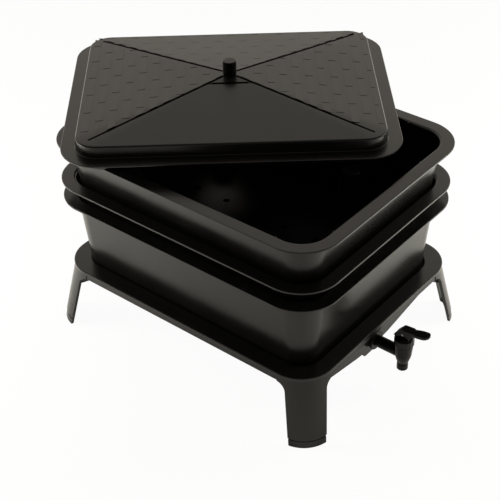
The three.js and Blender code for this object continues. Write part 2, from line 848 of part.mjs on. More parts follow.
// The rubber seal: a soft disc with a cone-shaped nose over the outlet, pushed on the stem's end
function sealSolid() {
  const top = sealBottom + sealThickness;
  const noseRadius = outletRadius - seatGap;
  const body = turned([
    [0, sealBottom - sealNoseDepth / 2],
    [noseRadius, sealBottom - sealNoseDepth / 2],
    [noseRadius, sealBottom],
    [sealRadius, sealBottom],
    [sealRadius, top],
    [0, top],
  ], turnSteps);
  return body.subtract(disc(stemRadius + runningGap, sealBottom, top + overrun, smallTurnSteps));
}

// The return spring, one unbroken helix of round wire
function springSolid() {
  const rise = springTop - springBottom - 2 * springWireRadius;
  const stepsPerTurn = 8;
  const wireSides = 5;
  const steps = springTurns * stepsPerTurn;
  const outlines = Array.from({ length: steps + 1 }, () => (
    Array.from({ length: wireSides }, (_, side) => {
      const angle = (side / wireSides) * 2 * Math.PI;
      return new THREE.Vector2(springWireRadius * Math.cos(angle), springWireRadius * Math.sin(angle));
    })
  ));
  return loft(outlines, (point, level) => {
    const angle = -(level / stepsPerTurn) * 2 * Math.PI;
    const reach = springRadius + point.x;
    const height = springBottom + springWireRadius + (rise * level) / steps + point.y;
    return new THREE.Vector3(reach * Math.cos(angle), reach * Math.sin(angle), height);
  });
}

// The thumb lever: a side outline cut to its plan, slotted for the stem's eye and bored for the pin
function leverSolid() {
  const heel = capTop + seatGap;
  const peak = leverPinHeight + leverPeak;
  const tip = leverPinHeight + leverTipRise;
  const neckX = leverHeelX + leverPaddleThickness;
  const side = sideExtrusion(filleted([
    [-leverRearX, heel, leverEdgeRound],
    [leverHeelX, heel, leverEdgeRound],
    [neckX, peak - leverPaddleThickness, leverNeckRound],
    [leverReach, tip - leverPaddleThickness, leverEdgeRound],
    [leverReach, tip, leverEdgeRound],
    [neckX, peak + leverPaddleThickness / 2, leverNeckRound],
    [-leverPeakRearX, peak, leverPeakRound],
    [-leverRearX, heel + leverPaddleThickness / 2, leverEdgeRound],
  ]), 2 * leverPaddleRadius + overrun);
  const plan = new THREE.Shape();
  plan.moveTo(-leverRearX - overrun, -leverHubWidth / 2);
  plan.lineTo(leverHeelX, -leverHubWidth / 2);
  plan.lineTo(leverHeelX + leverPaddleThickness, -leverNeckWidth / 2);
  plan.lineTo(leverReach - 2 * leverPaddleRadius, -leverPaddleRadius);
  plan.absarc(leverReach - leverPaddleRadius, 0, leverPaddleRadius, -quarterTurn, quarterTurn, false);
  plan.lineTo(leverReach - 2 * leverPaddleRadius, leverPaddleRadius);
  plan.lineTo(leverHeelX + leverPaddleThickness, leverNeckWidth / 2);
  plan.lineTo(leverHeelX, leverHubWidth / 2);
  plan.lineTo(-leverRearX - overrun, leverHubWidth / 2);
  const planGeometry = new THREE.ExtrudeGeometry(plan, {
    depth: 2 * tip,
    bevelEnabled: false,
    curveSegments: paddleSteps,
  });
  // The slot leaves room for the stem to lean as far as the lever rocks
  const rock = THREE.MathUtils.degToRad(leverRockDegrees);
  const slotHalfLength = (leverPinHeight - heel) * Math.tan(rock) + stemRadius / Math.cos(rock) + runningGap;
  const slotRise = stemEyeReach * Math.cos(rock) + stemRadius * Math.sin(rock) + runningGap;
  const slotTop = leverPinHeight + slotRise;
  const slotHeight = slotTop - heel + overrun;
  const slotWidth = 2 * (stemRadius + runningGap);
  const slot = boxSolid(2 * slotHalfLength, slotWidth, slotHeight, 0, 0, slotTop - slotHeight / 2);
  return side
    .intersect(toSolid(planGeometry))
    .subtract(slot)
    .subtract(pinSolid(leverPinRadius + pinClearance, 2 * leverHubWidth));
}

// Assembly

function tapPieces() {
  const tap = new THREE.Group();
  const innerFace = -tapReach - baseWall;
  const washer = layAlongX(ring(tapWasherRadius, tailRadius + runningGap, 0, tapWasherThickness, turnSteps));
  const nut = stack([[hexagon(tapNutFlat), 0], [hexagon(tapNutFlat), tapNutThickness]])
    .subtract(disc(tailRadius + runningGap, -overrun, tapNutThickness + overrun, turnSteps));
  const nutX = innerFace - tapWasherThickness - 2 * seatGap - tapNutThickness;
  tap.add(
    piece('tap_body', tapBodySolid(), greyPlastic),
    piece('tap_cap', tapCapSolid(), glossBlack),
    piece('tap_stem', stemSolid(), glossBlack),
    piece('tap_valve_seal', sealSolid(), rubber),
    piece('tap_spring', springSolid(), steel),
    piece('tap_lever', leverSolid(), glossBlack),
    piece('tap_lever_pin', pinSolid(leverPinRadius, leverHubWidth - runningGap), steel),
    piece('tap_outer_washer', movedSolid(washer, -tapReach + seatGap, 0, 0), rubber),
    piece('tap_inner_washer', movedSolid(washer, innerFace - seatGap - tapWasherThickness, 0, 0), rubber),
    piece('tap_nut', movedSolid(layAlongX(nut), nutX, 0, 0), glossBlack),
  );
  tap.position.set(tapWallX + tapReach, 0, tapHeight);
  return tap;
}

function lidPieces() {
  const lid = new THREE.Group();
  const knob = piece('lid_knob', knobSolid(), glossBlack);
  const washer = piece('knob_washer', ring(
    knobWasherRadius,
    knobScrewRadius + runningGap,
    0,
    knobWasherThickness,
    smallTurnSteps,
  ), steel);
  const screw = piece('knob_screw', knobScrewSolid(), steel);
  knob.position.z = lidPlatform + seatGap;
  washer.position.z = lidBossBottom - seatGap - knobWasherThickness;
  screw.position.z = washer.position.z - seatGap;
  lid.add(piece('lid', lidSolid(), blackPlastic), knob, washer, screw);
  lid.rotation.z = THREE.MathUtils.degToRad(lidTurnDegrees);
  return lid;
}

// How far the top tray can slip each way before its wall's corner meets the wall of the tray below
const upperSlip = (standPitch * trayDraftShare - trayWall - seatGap) / Math.SQRT2;

function buildWormery() {
  const wormery = new THREE.Group();
  const tray = traySolid();
  const lowerTray = piece('lower_tray', tray, blackPlastic);
  const middleTray = piece('middle_tray', tray, blackPlastic);
  const upperTray = piece('upper_tray', tray, blackPlastic);
  const lid = lidPieces();
  lowerTray.position.set(0, 0, trayBottom);
  middleTray.position.set(0, 0, lowerTray.position.z + nestPitch);
  // The top tray is turned end for end and stands on the cones below it, slipped over as far as it goes
  upperTray.rotation.z = Math.PI;
  upperTray.position.set(upperSlip, -upperSlip, middleTray.position.z + standPitch);
  lid.position.set(lidShiftX, lidShiftY, upperTray.position.z + trayDepth + seatGap);
  const stackGroup = new THREE.Group();
  stackGroup.position.set(stackShiftX, stackShiftY, 0);
  stackGroup.add(lowerTray, middleTray, upperTray, lid);
  wormery.add(piece('base', baseSolid(), blackPlastic), stackGroup, tapPieces());
  wormery.updateMatrixWorld(true);
  const middle = new THREE.Box3().setFromObject(wormery, true).getCenter(new THREE.Vector3());
  wormery.position.set(-middle.x, -middle.y, 0);
  return wormery;
}

export default buildWormery();
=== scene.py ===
import math

import bpy
import numpy as np
from mathutils import Matrix, Vector


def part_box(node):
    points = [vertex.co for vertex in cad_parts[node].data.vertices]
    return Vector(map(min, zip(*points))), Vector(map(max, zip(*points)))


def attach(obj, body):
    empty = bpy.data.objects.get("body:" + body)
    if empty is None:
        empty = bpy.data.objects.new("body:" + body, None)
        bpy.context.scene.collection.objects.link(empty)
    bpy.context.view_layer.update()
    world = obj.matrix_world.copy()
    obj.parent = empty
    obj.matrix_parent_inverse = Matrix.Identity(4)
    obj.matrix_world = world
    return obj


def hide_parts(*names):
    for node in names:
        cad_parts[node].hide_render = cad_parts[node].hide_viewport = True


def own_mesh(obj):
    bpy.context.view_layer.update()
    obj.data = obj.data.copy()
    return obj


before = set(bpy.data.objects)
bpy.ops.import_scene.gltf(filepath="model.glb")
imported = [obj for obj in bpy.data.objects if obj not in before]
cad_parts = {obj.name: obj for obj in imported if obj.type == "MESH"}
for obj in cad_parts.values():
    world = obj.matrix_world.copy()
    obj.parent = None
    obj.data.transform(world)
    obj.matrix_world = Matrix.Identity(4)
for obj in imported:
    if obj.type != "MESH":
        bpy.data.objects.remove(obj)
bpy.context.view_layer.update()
print("frame loaded")

mm = 0.001           # lengths below are in millimetres, and become metres as a mesh is made
cutPast = 2          # how far a cutter reaches past the face that it cuts
sharpRound = 0.01    # the round of a corner that stays sharp


def solidBox(nodeName):
    # The low and the high corner of a solid's box
    return [np.array(corner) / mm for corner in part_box(nodeName)]


def standPoint(nodeName):
    # The middle of a solid's box in X and Y, at the height of its underside
    low, high = solidBox(nodeName)
    return np.array([(low[0] + high[0]) / 2, (low[1] + high[1]) / 2, low[2]])


# Outlines and profiles

def roundedOutline(plan, inset, steps=20):
    # A rounded rectangle, anticlockwise: each corner is a quarter circle about its own centre, and the inset comes
    # off its radius
    quarter = np.linspace(0, math.pi / 2, steps + 1)
    signs = np.array([[1, -1], [1, 1], [-1, 1], [-1, -1]])
    angle = (np.arange(4) - 1)[:, None] * math.pi / 2 + quarter[None, :]
    reach = plan["corner"] - inset
    centre = signs * [plan["length"] / 2 - plan["corner"], plan["width"] / 2 - plan["corner"]]
    x = centre[:, 0, None] + reach * np.cos(angle)
    y = centre[:, 1, None] + reach * np.sin(angle)
    return np.stack([x.ravel(), y.ravel()], axis=1)


def arcPoints(centre, radius, start, end, steps):
    # Points on a circle: the centre plus the radius times the cosine and sine, from one angle to another in degrees
    angle = np.radians(np.linspace(start, end, steps + 1))
    return np.stack([centre[0] + radius * np.cos(angle), centre[1] + radius * np.sin(angle)], axis=1)


def filletPolygon(corners, radii, steps=6):
    # A polygon whose corners are bent to quadratic curves that start and end one radius along each side
    corners = np.array(corners, float)
    radii = np.broadcast_to(np.array(radii, float), (len(corners),))[:, None]
    back = np.roll(corners, 1, axis=0) - corners
    ahead = np.roll(corners, -1, axis=0) - corners
    start = corners + back / np.linalg.norm(back, axis=1, keepdims=True) * radii
    end = corners + ahead / np.linalg.norm(ahead, axis=1, keepdims=True) * radii
    t = np.linspace(0, 1, steps + 1)[None, :, None]
    curve = start[:, None] * (1 - t) ** 2 + corners[:, None] * 2 * t * (1 - t) + end[:, None] * t ** 2
    return curve.reshape(-1, 2)


def circle(radius, steps):
    # One turn of a circle, anticlockwise: the radius times the cosine and sine of evenly spaced angles
    angle = np.linspace(0, 2 * math.pi, steps, endpoint=False)
    return np.stack([radius * np.cos(angle), radius * np.sin(angle)], axis=1)


def flutedOutline(radius, depth, flutes, steps):
    # A circle whose radius falls by the flutes' depth and rises again, as a cosine, once for each flute
    angle = np.linspace(0, 2 * math.pi, flutes * steps, endpoint=False)
    reach = radius - depth / 2 + depth / 2 * np.cos(flutes * angle)
    return np.stack([reach * np.cos(angle), reach * np.sin(angle)], axis=1)


def atHeights(outlines, heights):
    # Level outlines lifted to their heights: an array of rings
    flat = np.array(outlines)
    heights = np.broadcast_to(np.array(heights, float)[:, None, None], flat.shape[:2] + (1,))
    return np.concatenate([flat, heights], axis=2)


def planRings(plan, profile):
    # A profile of (inset, height) pairs carried round a rounded rectangle
    insets, heights = zip(*profile)
    return atHeights([roundedOutline(plan, inset) for inset in insets], heights)


def turnedRings(profile, steps=48):
    # A profile of (radius, height) pairs turned about the vertical axis
    radii, heights = zip(*profile)
    return atHeights([circle(radius, steps) for radius in radii], heights)


def webRings(side, thickness):
    # A flat web: its outline in X and Z, at half its thickness to either side
    return np.array([
        np.column_stack([side[:, 0], np.full(len(side), y), side[:, 1]]) for y in (thickness / 2, -thickness / 2)
    ])


def shifted(rings, offset):
    # The same rings moved by an offset
    return np.asarray(rings, float) + np.array(offset, float)


def turnedAboutZ(rings, degrees):
    # The same rings turned about the vertical axis, by the matrix of cosines and sines
    angle = math.radians(degrees)
    turn = np.array([[math.cos(angle), math.sin(angle), 0], [-math.sin(angle), math.cos(angle), 0], [0, 0, 1]])
    return np.asarray(rings, float) @ turn


def alongX(rings):
    # Rings that stand up the vertical axis, laid down to run along X: height becomes X, and X becomes depth
    rings = np.asarray(rings, float)
    return np.stack([rings[..., 2], rings[..., 1], -rings[..., 0]], axis=-1)


# Meshes

def gridFaces(rows, columns):
    # Quads between neighbouring rings, each ring closed on itself, as index arithmetic on the whole grid
    row, column = np.meshgrid(np.arange(rows - 1), np.arange(columns), indexing="ij")
    nextColumn = (column + 1) % columns
    corners = [
        row * columns + column, row * columns + nextColumn,
        (row + 1) * columns + nextColumn, (row + 1) * columns + column,
    ]
    return np.stack([corner.ravel() for corner in corners], axis=1)


def solidsFromRings(name, ringSets, place=(0, 0, 0), turn=0):
    # Closed solids that don't touch, in one mesh: each has quads between its rings and one face over either end. They
    # are turned about the vertical axis, then set down at their place
    vertices, faces, first = [], [], 0
    for rings in ringSets:
        rings = shifted(turnedAboutZ(rings, turn), place)
        rows, columns = rings.shape[:2]
        last = first + (rows - 1) * columns
        faces += (gridFaces(rows, columns) + first).tolist()
        faces += [list(range(first, first + columns))[::-1], list(range(last, last + columns))]
        vertices.append(rings.reshape(-1, 3) * mm)
        first += rows * columns
    mesh = bpy.data.meshes.new(name)
    mesh.from_pydata(np.concatenate(vertices).tolist(), [], faces)
    solid = bpy.data.objects.new(name, mesh)
    bpy.context.collection.objects.link(solid)
    return solid


def combine(piece, steps):
    # Adds and cuts solids in turn, then keeps only the result
    for operation, tool in steps:
        change = piece.modifiers.new(operation.lower(), "BOOLEAN")
        change.operation = operation
        change.solver = "MANIFOLD"
        change.object = tool
    bpy.context.view_layer.update()
    graph = bpy.context.evaluated_depsgraph_get()
    result = bpy.data.meshes.new_from_object(piece.evaluated_get(graph))
    piece.modifiers.clear()
    old = piece.data
    piece.data = result
    result.name = piece.name
    bpy.data.meshes.remove(old)
    for operation, tool in steps:
        bpy.data.objects.remove(tool)


def finishPiece(piece, material, body, nodes, sharpAngle=32):
    # Smooth shading with crisp edges, the material, the body it rides on and the solids it stands for
    piece.data.shade_smooth()
    piece.data.set_sharp_from_angle(angle=math.radians(sharpAngle))
    even = piece.modifiers.new("even shading", "WEIGHTED_NORMAL")
    even.keep_sharp = True
    piece.data.materials.clear()
    piece.data.materials.append(material)
    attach(piece, body)
    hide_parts(*nodes)


# Materials

def toLinear(hexColour):
    # Each sRGB byte over 255, then the sRGB curve undone
    channels = [int(hexColour[i:i + 2], 16) / 255 for i in (1, 3, 5)]
    return [c / 12.92 if c <= 0.04045 else ((c + 0.055) / 1.055) ** 2.4 for c in channels] + [1.0]


def addNode(tree, kind, settings=None, links=None):
    # A node of any kind: a setting goes to the socket of its name or number, or else to the node's own property, and
    # a link joins another node's output to a socket
    node = tree.nodes.new(kind)
    for key, value in (settings or {}).items():
        if isinstance(key, int) or key in node.inputs:
            node.inputs[key].default_value = value
        else:
            setattr(node, key, value)
    for socket, source in (links or {}).items():
        tree.links.new(source, node.inputs[socket])
    return node


def newMaterial(name):
    # A material with only its output node
    material = bpy.data.materials.new(name)
    material.use_nodes = True
    tree = material.node_tree
    tree.nodes.clear()
    return material, tree, addNode(tree, "ShaderNodeOutputMaterial")


# Polypropylene from a spark-eroded mould: a deep black with a satin skin that softly mirrors what lies round it
mouldedPlastic = {
    "dark": "#080807",
    "light": "#0c0c0b",
    "roughness": 0.24,
    "roughnessSwing": 0.03,
    "grainSize": 0.55,      # the real grain is about 0.2 mm, drawn coarser so that it shows close up
    "grainDepth": 0.005,
    "flowSize": 70,         # cloudy flow marks
    "mirror": 0.5,          # the shader's specular level
}

# ABS from a polished mould: black that looks wet, with small sharp highlights
glossPlastic = {
    "dark": "#050505",
    "light": "#080808",
    "roughness": 0.12,
    "roughnessSwing": 0.04,
    "grainSize": 1.6,       # the polish's faint waviness
    "grainDepth": 0.003,
    "flowSize": 12,
    "mirror": 0.28,
}

# Acetal from a satin mould: a waxy black that turns grey in broad soft highlights
tapPlastic = {
    "dark": "#070706",
    "light": "#0b0b0a",
    "roughness": 0.32,
    "roughnessSwing": 0.04,
    "grainSize": 0.9,       # the real grain is about 0.2 mm, drawn coarser so that it shows close up
    "grainDepth": 0.008,
    "flowSize": 14,
    "mirror": 0.2,
}

# EPDM rubber from a plain steel mould: a dull dark grey with hardly a highlight
sealRubber = {
    "dark": "#161616",
    "light": "#1e1e1e",
    "roughness": 0.68,
    "roughnessSwing": 0.08,
    "grainSize": 0.8,       # the real pitting is about 0.1 mm, drawn coarser so that it shows close up
    "grainDepth": 0.03,
    "flowSize": 9,
    "mirror": 0.3,
}

flowRange = (0.3, 0.7)      # the values that the flow noise mostly keeps to
plasticIor = 1.5


def makePlastic(name, look):
    # A slow noise stands for flow marks: it mixes the two colours, and moves the roughness evenly from its middle
    # less the swing to its middle plus the swing. A fine noise stands for the grain, and is the bump's height
    material, tree, output = newMaterial(name)
    place = {"Vector": addNode(tree, "ShaderNodeTexCoord").outputs["Object"]}
    flow = addNode(tree, "ShaderNodeTexNoise", {"Scale": 1 / (look["flowSize"] * mm), "Detail": 3.0}, place)
    grain = addNode(tree, "ShaderNodeTexNoise", {"Scale": 1 / (look["grainSize"] * mm), "Detail": 2.0}, place)
    colour = addNode(tree, "ShaderNodeMix", {
        "data_type": "RGBA", 6: toLinear(look["dark"]), 7: toLinear(look["light"]),
    }, {0: flow.outputs["Fac"]})
    gloss = addNode(tree, "ShaderNodeMapRange", {
        "From Min": flowRange[0], "From Max": flowRange[1],
        "To Min": look["roughness"] - look["roughnessSwing"], "To Max": look["roughness"] + look["roughnessSwing"],
    }, {"Value": flow.outputs["Fac"]})
    bump = addNode(tree, "ShaderNodeBump", {"Strength": 1.0, "Distance": look["grainDepth"] * mm},
                   {"Height": grain.outputs["Fac"]})
    shader = addNode(tree, "ShaderNodeBsdfPrincipled", {"IOR": plasticIor, "Specular IOR Level": look["mirror"]}, {
        "Base Color": colour.outputs[2], "Roughness": gloss.outputs[0], "Normal": bump.outputs["Normal"],
    })
    tree.links.new(shader.outputs[0], output.inputs[0])
    return material


# Drawn steel, zinc-plated: a bright metal, slightly cloudy, with a fine unevenness left by the drawing
zincSteel = {
    "light": "#c6c7c4",
    "dull": "#a9aaa6",
    "roughness": 0.26,
    "cloudSize": 4,
    "scratchSize": 0.35,    # the real scratches are under 0.1 mm, drawn coarser so that they show close up
    "scratchDepth": 0.006,
}


def makeZincSteel():
    # A slow noise mixes the bright and the dull colour, and a fine one is the bump's height
    look = zincSteel
    material, tree, output = newMaterial("zinc-plated drawn steel")
    place = {"Vector": addNode(tree, "ShaderNodeTexCoord").outputs["Object"]}
    cloud = addNode(tree, "ShaderNodeTexNoise", {"Scale": 1 / (look["cloudSize"] * mm), "Detail": 2.0}, place)
    lines = addNode(tree, "ShaderNodeTexNoise", {"Scale": 1 / (look["scratchSize"] * mm), "Detail": 2.0}, place)
    colour = addNode(tree, "ShaderNodeMix", {
        "data_type": "RGBA", 6: toLinear(look["dull"]), 7: toLinear(look["light"]),
    }, {0: cloud.outputs["Fac"]})
    bump = addNode(tree, "ShaderNodeBump", {"Strength": 1.0, "Distance": look["scratchDepth"] * mm},
                   {"Height": lines.outputs["Fac"]})
    shader = addNode(tree, "ShaderNodeBsdfPrincipled", {"Metallic": 1.0, "Roughness": look["roughness"]}, {
        "Base Color": colour.outputs[2], "Normal": bump.outputs["Normal"],
    })
    tree.links.new(shader.outputs[0], output.inputs[0])
    return material


mouldedBlack = makePlastic("satin moulded polypropylene", mouldedPlastic)
glossBlack = makePlastic("gloss moulded ABS", glossPlastic)
tapGrey = makePlastic("satin moulded acetal", tapPlastic)
rubberBlack = makePlastic("moulded EPDM rubber", sealRubber)
steelBright = makeZincSteel()
print("materials made")


# Trays

tray = {
    "length": 398, "width": 313, "corner": 50,
    "depth": 110.2, "wall": 1.6, "floor": 1.8, "draftShare": 0.09, "footRound": 3,
    "rimThickness": 2.6, "rimBand": 14.2, "rimEdgeRound": 0.7, "rimUnderRound": 0.5, "rimLip": 4, "underFillet": 1.2,
    "nestPitch": 24.8, "standPitch": 55.2, "seatGap": 0.3,
    "coneTop": 13, "coneRound": 1.5, "coneFarX": 122, "coneNearX": 82, "coneY": 84,
    "coneFoot": 0.2,        # above the floor's underside, so that the two faces don't meet
    "drainRadius": 4, "drainPitch": 46, "drainColumns": 7, "drainRows": 5,
    "gussetDrop": 8.6, "gussetThickness": 1.6, "gussetEdgeGap": 1.2, "gussetNose": 1.8,
    "gussetLong": [-124, 140], "gussetShort": [-95, 74],    # along the long and the short walls
}

coneHeight = tray["standPitch"] - tray["seatGap"]
coneTaper = (tray["wall"] + tray["seatGap"]) / tray["nestPitch"]


def trayInner(height):
    # How far the inner face stands in from the rim's edge: it leans in by the draft towards the floor
    return tray["rimBand"] + tray["rimLip"] + tray["draftShare"] * (tray["depth"] - height)


def trayOuter(height):
    # How far the outer face stands in from the rim's edge: the inner face's inset less the wall
    return trayInner(height) - tray["wall"]


def trayShellRings():
    # From the floor's underside round the foot, up the wall, out under the rim, over its edge and down inside to the
    # floor, each round an arc of its own radius
    t = tray
    top, under, foot = t["depth"], t["depth"] - t["rimThickness"], t["footRound"]
    fillet, edge, underRound, lip = t["underFillet"], t["rimEdgeRound"], t["rimUnderRound"], t["rimLip"]
    profile = np.concatenate([
        arcPoints((trayOuter(foot) + foot, foot), foot, 270, 180, steps=6),
        arcPoints((trayOuter(under) - fillet, under - fillet), fillet, 0, 90, steps=4),
        arcPoints((underRound, under + underRound), underRound, 270, 180, steps=3),
        arcPoints((edge, top - edge), edge, 180, 90, steps=5),
        arcPoints((t["rimBand"], top - lip), lip, 90, 0, steps=8),
        arcPoints((trayInner(t["floor"] + foot) + foot, t["floor"] + foot), foot, 180, 270, steps=6),
    ])
    return planRings(t, profile)


def coneRings(shrink, low, high):
    # A stacking cone: its radius at the top, plus the taper times the way down, less the shrink. The hollow, which is
    # shrunk by the wall, has no rounded top
    radius = lambda z: tray["coneTop"] + coneTaper * (coneHeight - z) - shrink
    if shrink:
        return turnedRings([(radius(low), low), (radius(high), high)], steps=40)
    crown = arcPoints((radius(high) - tray["coneRound"], high - tray["coneRound"]), tray["coneRound"], 0, 90, steps=4)
    return turnedRings([(radius(low), low), *crown], steps=40)


def conePlaces():
    # Four places, further out on one side: cones nest in a tray set the same way, and carry one turned half round
    t = tray
    return [(x, y) for x in (t["coneFarX"], -t["coneNearX"]) for y in (t["coneY"], -t["coneY"])]


def gussetRings():
    # Webs of five corners between the rim's underside and the wall, moved along it and turned to face it
    t = tray
    top = t["depth"] - t["rimThickness"] / 2
    low = t["depth"] - t["gussetDrop"]
    longWall = [(along, t["width"] / 2, 90) for along in t["gussetLong"]]
    shortWall = [(along, t["length"] / 2, 0) for along in t["gussetShort"]]
    rings = []
    for halfTurn in (0, 180):
        for along, half, turn in longWall + shortWall:
            outer = half - t["gussetEdgeGap"]
            inner = half - trayOuter(low) - t["wall"] / 2
            side = np.array([
                [inner, low], [inner + t["wall"], low], [outer, top - t["gussetNose"]], [outer, top], [inner, top],
            ])
            web = shifted(webRings(side, t["gussetThickness"]), (0, along, 0))
            rings.append(turnedAboutZ(web, turn + halfTurn))
    return rings


def drainRings():
    # Round drain holes on a square grid, left out where one would come nearer to a cone than the wall's thickness
    t = tray
    clear = t["coneTop"] + coneTaper * coneHeight + t["drainRadius"] + t["wall"]
    x = (np.arange(t["drainColumns"]) - (t["drainColumns"] - 1) / 2) * t["drainPitch"]
    y = (np.arange(t["drainRows"]) - (t["drainRows"] - 1) / 2) * t["drainPitch"]
    places = np.stack(np.meshgrid(x, y, indexing="ij"), axis=-1).reshape(-1, 2)
    distance = np.linalg.norm(places[:, None] - np.array(conePlaces())[None], axis=2).min(axis=1)
    pin = turnedRings([(t["drainRadius"], -cutPast), (t["drainRadius"], t["floor"] + cutPast)], steps=20)
    return [shifted(pin, (x, y, 0)) for x, y in places[distance > clear]]


def makeTray(node, turn):
    # One moulding: the shell with its webs and hollow cones, drilled for the drains, where its solid stands
    place = standPoint(node)
    tool = lambda name, ringSets: solidsFromRings(name, ringSets, place, turn)
    atCones = lambda name, rings: tool(name, [shifted(rings, (x, y, 0)) for x, y in conePlaces()])
    piece = tool(node + "_moulding", [trayShellRings()])
    combine(piece, [
        ("UNION", tool("webs", gussetRings())),
        ("UNION", atCones("cones", coneRings(0, tray["coneFoot"], coneHeight))),
        ("DIFFERENCE", atCones("hollows", coneRings(tray["wall"], -cutPast, coneHeight - tray["wall"]))),
        ("DIFFERENCE", tool("drains", drainRings())),
    ])
    finishPiece(piece, mouldedBlack, node, [node])


for trayNode, trayTurn in (("lower_tray", 0), ("middle_tray", 0), ("upper_tray", 180)):
    makeTray(trayNode, trayTurn)
print("trays made")


# Base

base = {
    "length": 392, "width": 310, "corner": 44.5, "height": 89.4, "wall": 2.4,
    "skirt": 11.3, "band": 5, "step": 1, "edgeRound": 1.2, "bandRound": 0.5, "hollowRound": 1,
    "dripDepth": 1.1, "dripHeight": 2.6, "dripFlat": 0.2,   # the drip groove under the band
    "recessDepth": 11.6, "recessGap": 2.1, "recessRound": 1.5,
    "sumpHalf": 117, "sumpFarInset": 12, "sumpFlatHalf": 28, "sumpRound": 5, "sumpFloorRound": 8,
    "tapEnd": (38, 53), "farEnd": (61, 68),                 # the sump's floor in its middle and at its sides
    "wellHalf": 19, "wellBottom": 30.5, "wellCorner": 6, "wellLength": 34,
    "tapHeight": 48.5, "tapHole": 7.6,
    "legThickness": 4, "legSplay": 21.2, "footRadius": 40, "footHalf": 23.9, "legTopHalf": 26,
    "legFillet": 10, "legInset": 0.8, "legRoot": 1.2, "footHeight": 8, "footInset": 0.9,
    "toeGroove": (7.6, 10.2, 1.6),                          # from, to and how deep
    "webReach": 18, "webTaper": 2, "webHeight": 25, "webHeel": 7,
}

baseMiddle = standPoint("base") * [1, 1, 0]
recessInset = trayOuter(base["recessDepth"]) - base["recessGap"]
recessHalf = tray["length"] / 2 - recessInset
tapWall = recessHalf + base["wall"]
skirtBottom = base["height"] - base["skirt"]
bandBottom = base["height"] - base["band"]


def skirtRings():
    # Up the skirt, into the drip groove under the band, and over the band's rounded edges to the top
    b = base
    top, bandRound, edge, groove = b["height"], b["bandRound"], b["edgeRound"], b["step"] + b["dripDepth"]
    profile = np.concatenate([
        [[b["step"], skirtBottom], [b["step"], bandBottom - b["dripHeight"]],
         [groove, bandBottom - b["dripFlat"]], [groove, bandBottom]],
        arcPoints((bandRound, bandBottom + bandRound), bandRound, 270, 180, steps=3),
        arcPoints((edge, top - edge), edge, 180, 90, steps=5),
    ])
    return planRings(b, profile)


def skirtHollowRings():
    # The inside of the skirt: its outline set in by the wall, up to the wall's thickness under the top
    b = base
    inset, under, hollow = b["step"] + b["wall"], b["height"] - b["wall"], b["hollowRound"]
    ceiling = arcPoints((inset + hollow, under - hollow), hollow, 180, 90, steps=3)
    return planRings(b, [(inset, skirtBottom - cutPast), *ceiling])


def recessRings(inset, low, high, lipRound):
    # The tray-shaped recess, widened at its top by a small round
    profile = [(inset, low), (inset, high - lipRound)]
    if lipRound:
        profile += arcPoints((inset - lipRound, high - lipRound), lipRound, 0, 90, steps=4)[1:].tolist()
        profile += [(inset - lipRound, high + cutPast)]
    return planRings(tray, profile)


def sumpRings(inset, top):
    # The sump's section across Y, which changes evenly along X from the far end down to the tap end
    b = base
    half, flat = b["sumpHalf"] - inset, b["sumpFlatHalf"]
    section = lambda middle, side: filletPolygon([
        (half, side + inset), (half, top), (-half, top), (-half, side + inset),
        (-flat, middle + inset), (flat, middle + inset),
    ], [b["sumpRound"], sharpRound, sharpRound, b["sumpRound"], b["sumpFloorRound"], b["sumpFloorRound"]])
    ends = [b["sumpFarInset"] - recessHalf + inset, tapWall - inset]
    rings = [section(*b["farEnd"]), section(*b["tapEnd"])]
    return np.array([np.column_stack([np.full(len(ring), x), ring]) for x, ring in zip(ends, rings)])


def wellRings(inset, top):
    # The drain well at the tap end: one section with its lower corners rounded, carried straight along X
    b = base
    half, low = b["wellHalf"] - inset, b["wellBottom"] + inset
    section = filletPolygon([(half, low), (half, top), (-half, top), (-half, low)],
                            [b["wellCorner"], sharpRound, sharpRound, b["wellCorner"]])
    ends = [tapWall - b["wellLength"] + inset, tapWall - inset]
    return np.array([np.column_stack([np.full(len(section), x), section]) for x in ends])


def legAt(height):
    # A leg's corner radius, half width and move outwards at a height. All three change evenly from the foot to the
    # band, and a quarter circle widens the leg into the skirt
    b = base
    share = min(height / bandBottom, 1)
    topRadius = b["corner"] - b["legInset"]
    climb = min(max((height - skirtBottom + b["legFillet"]) / b["legFillet"], 0), 1)
    fillet = b["legFillet"] * (1 - math.sqrt(1 - climb * climb))
    radius = b["footRadius"] + (topRadius - b["footRadius"]) * share
    half = b["footHalf"] + (b["legTopHalf"] - b["footHalf"]) * share + fillet
    return radius, half, b["legSplay"] * (1 - share) + topRadius - radius


def legFace(height, depth, squeeze, steps=24):
    # A leg's face at a height: an arc of an eighth turn to either side of the corner, then straight tails, set in by
    # the depth and made narrower by the squeeze
    b = base
    radius, half, reach = legAt(height)
    centre = np.array([b["length"], b["width"]]) / 2 - b["corner"] + reach / math.sqrt(2)
    along = np.linspace(-(half - squeeze), half - squeeze, steps + 1)
    turn = np.clip(along / radius, -math.pi / 4, math.pi / 4)
    angle = math.pi / 4 + turn
    tail = along - turn * radius
    x = centre[0] + (radius - depth) * np.cos(angle) - tail * np.sin(angle)
    y = centre[1] + (radius - depth) * np.sin(angle) + tail * np.cos(angle)
    return np.stack([x, y], axis=1)


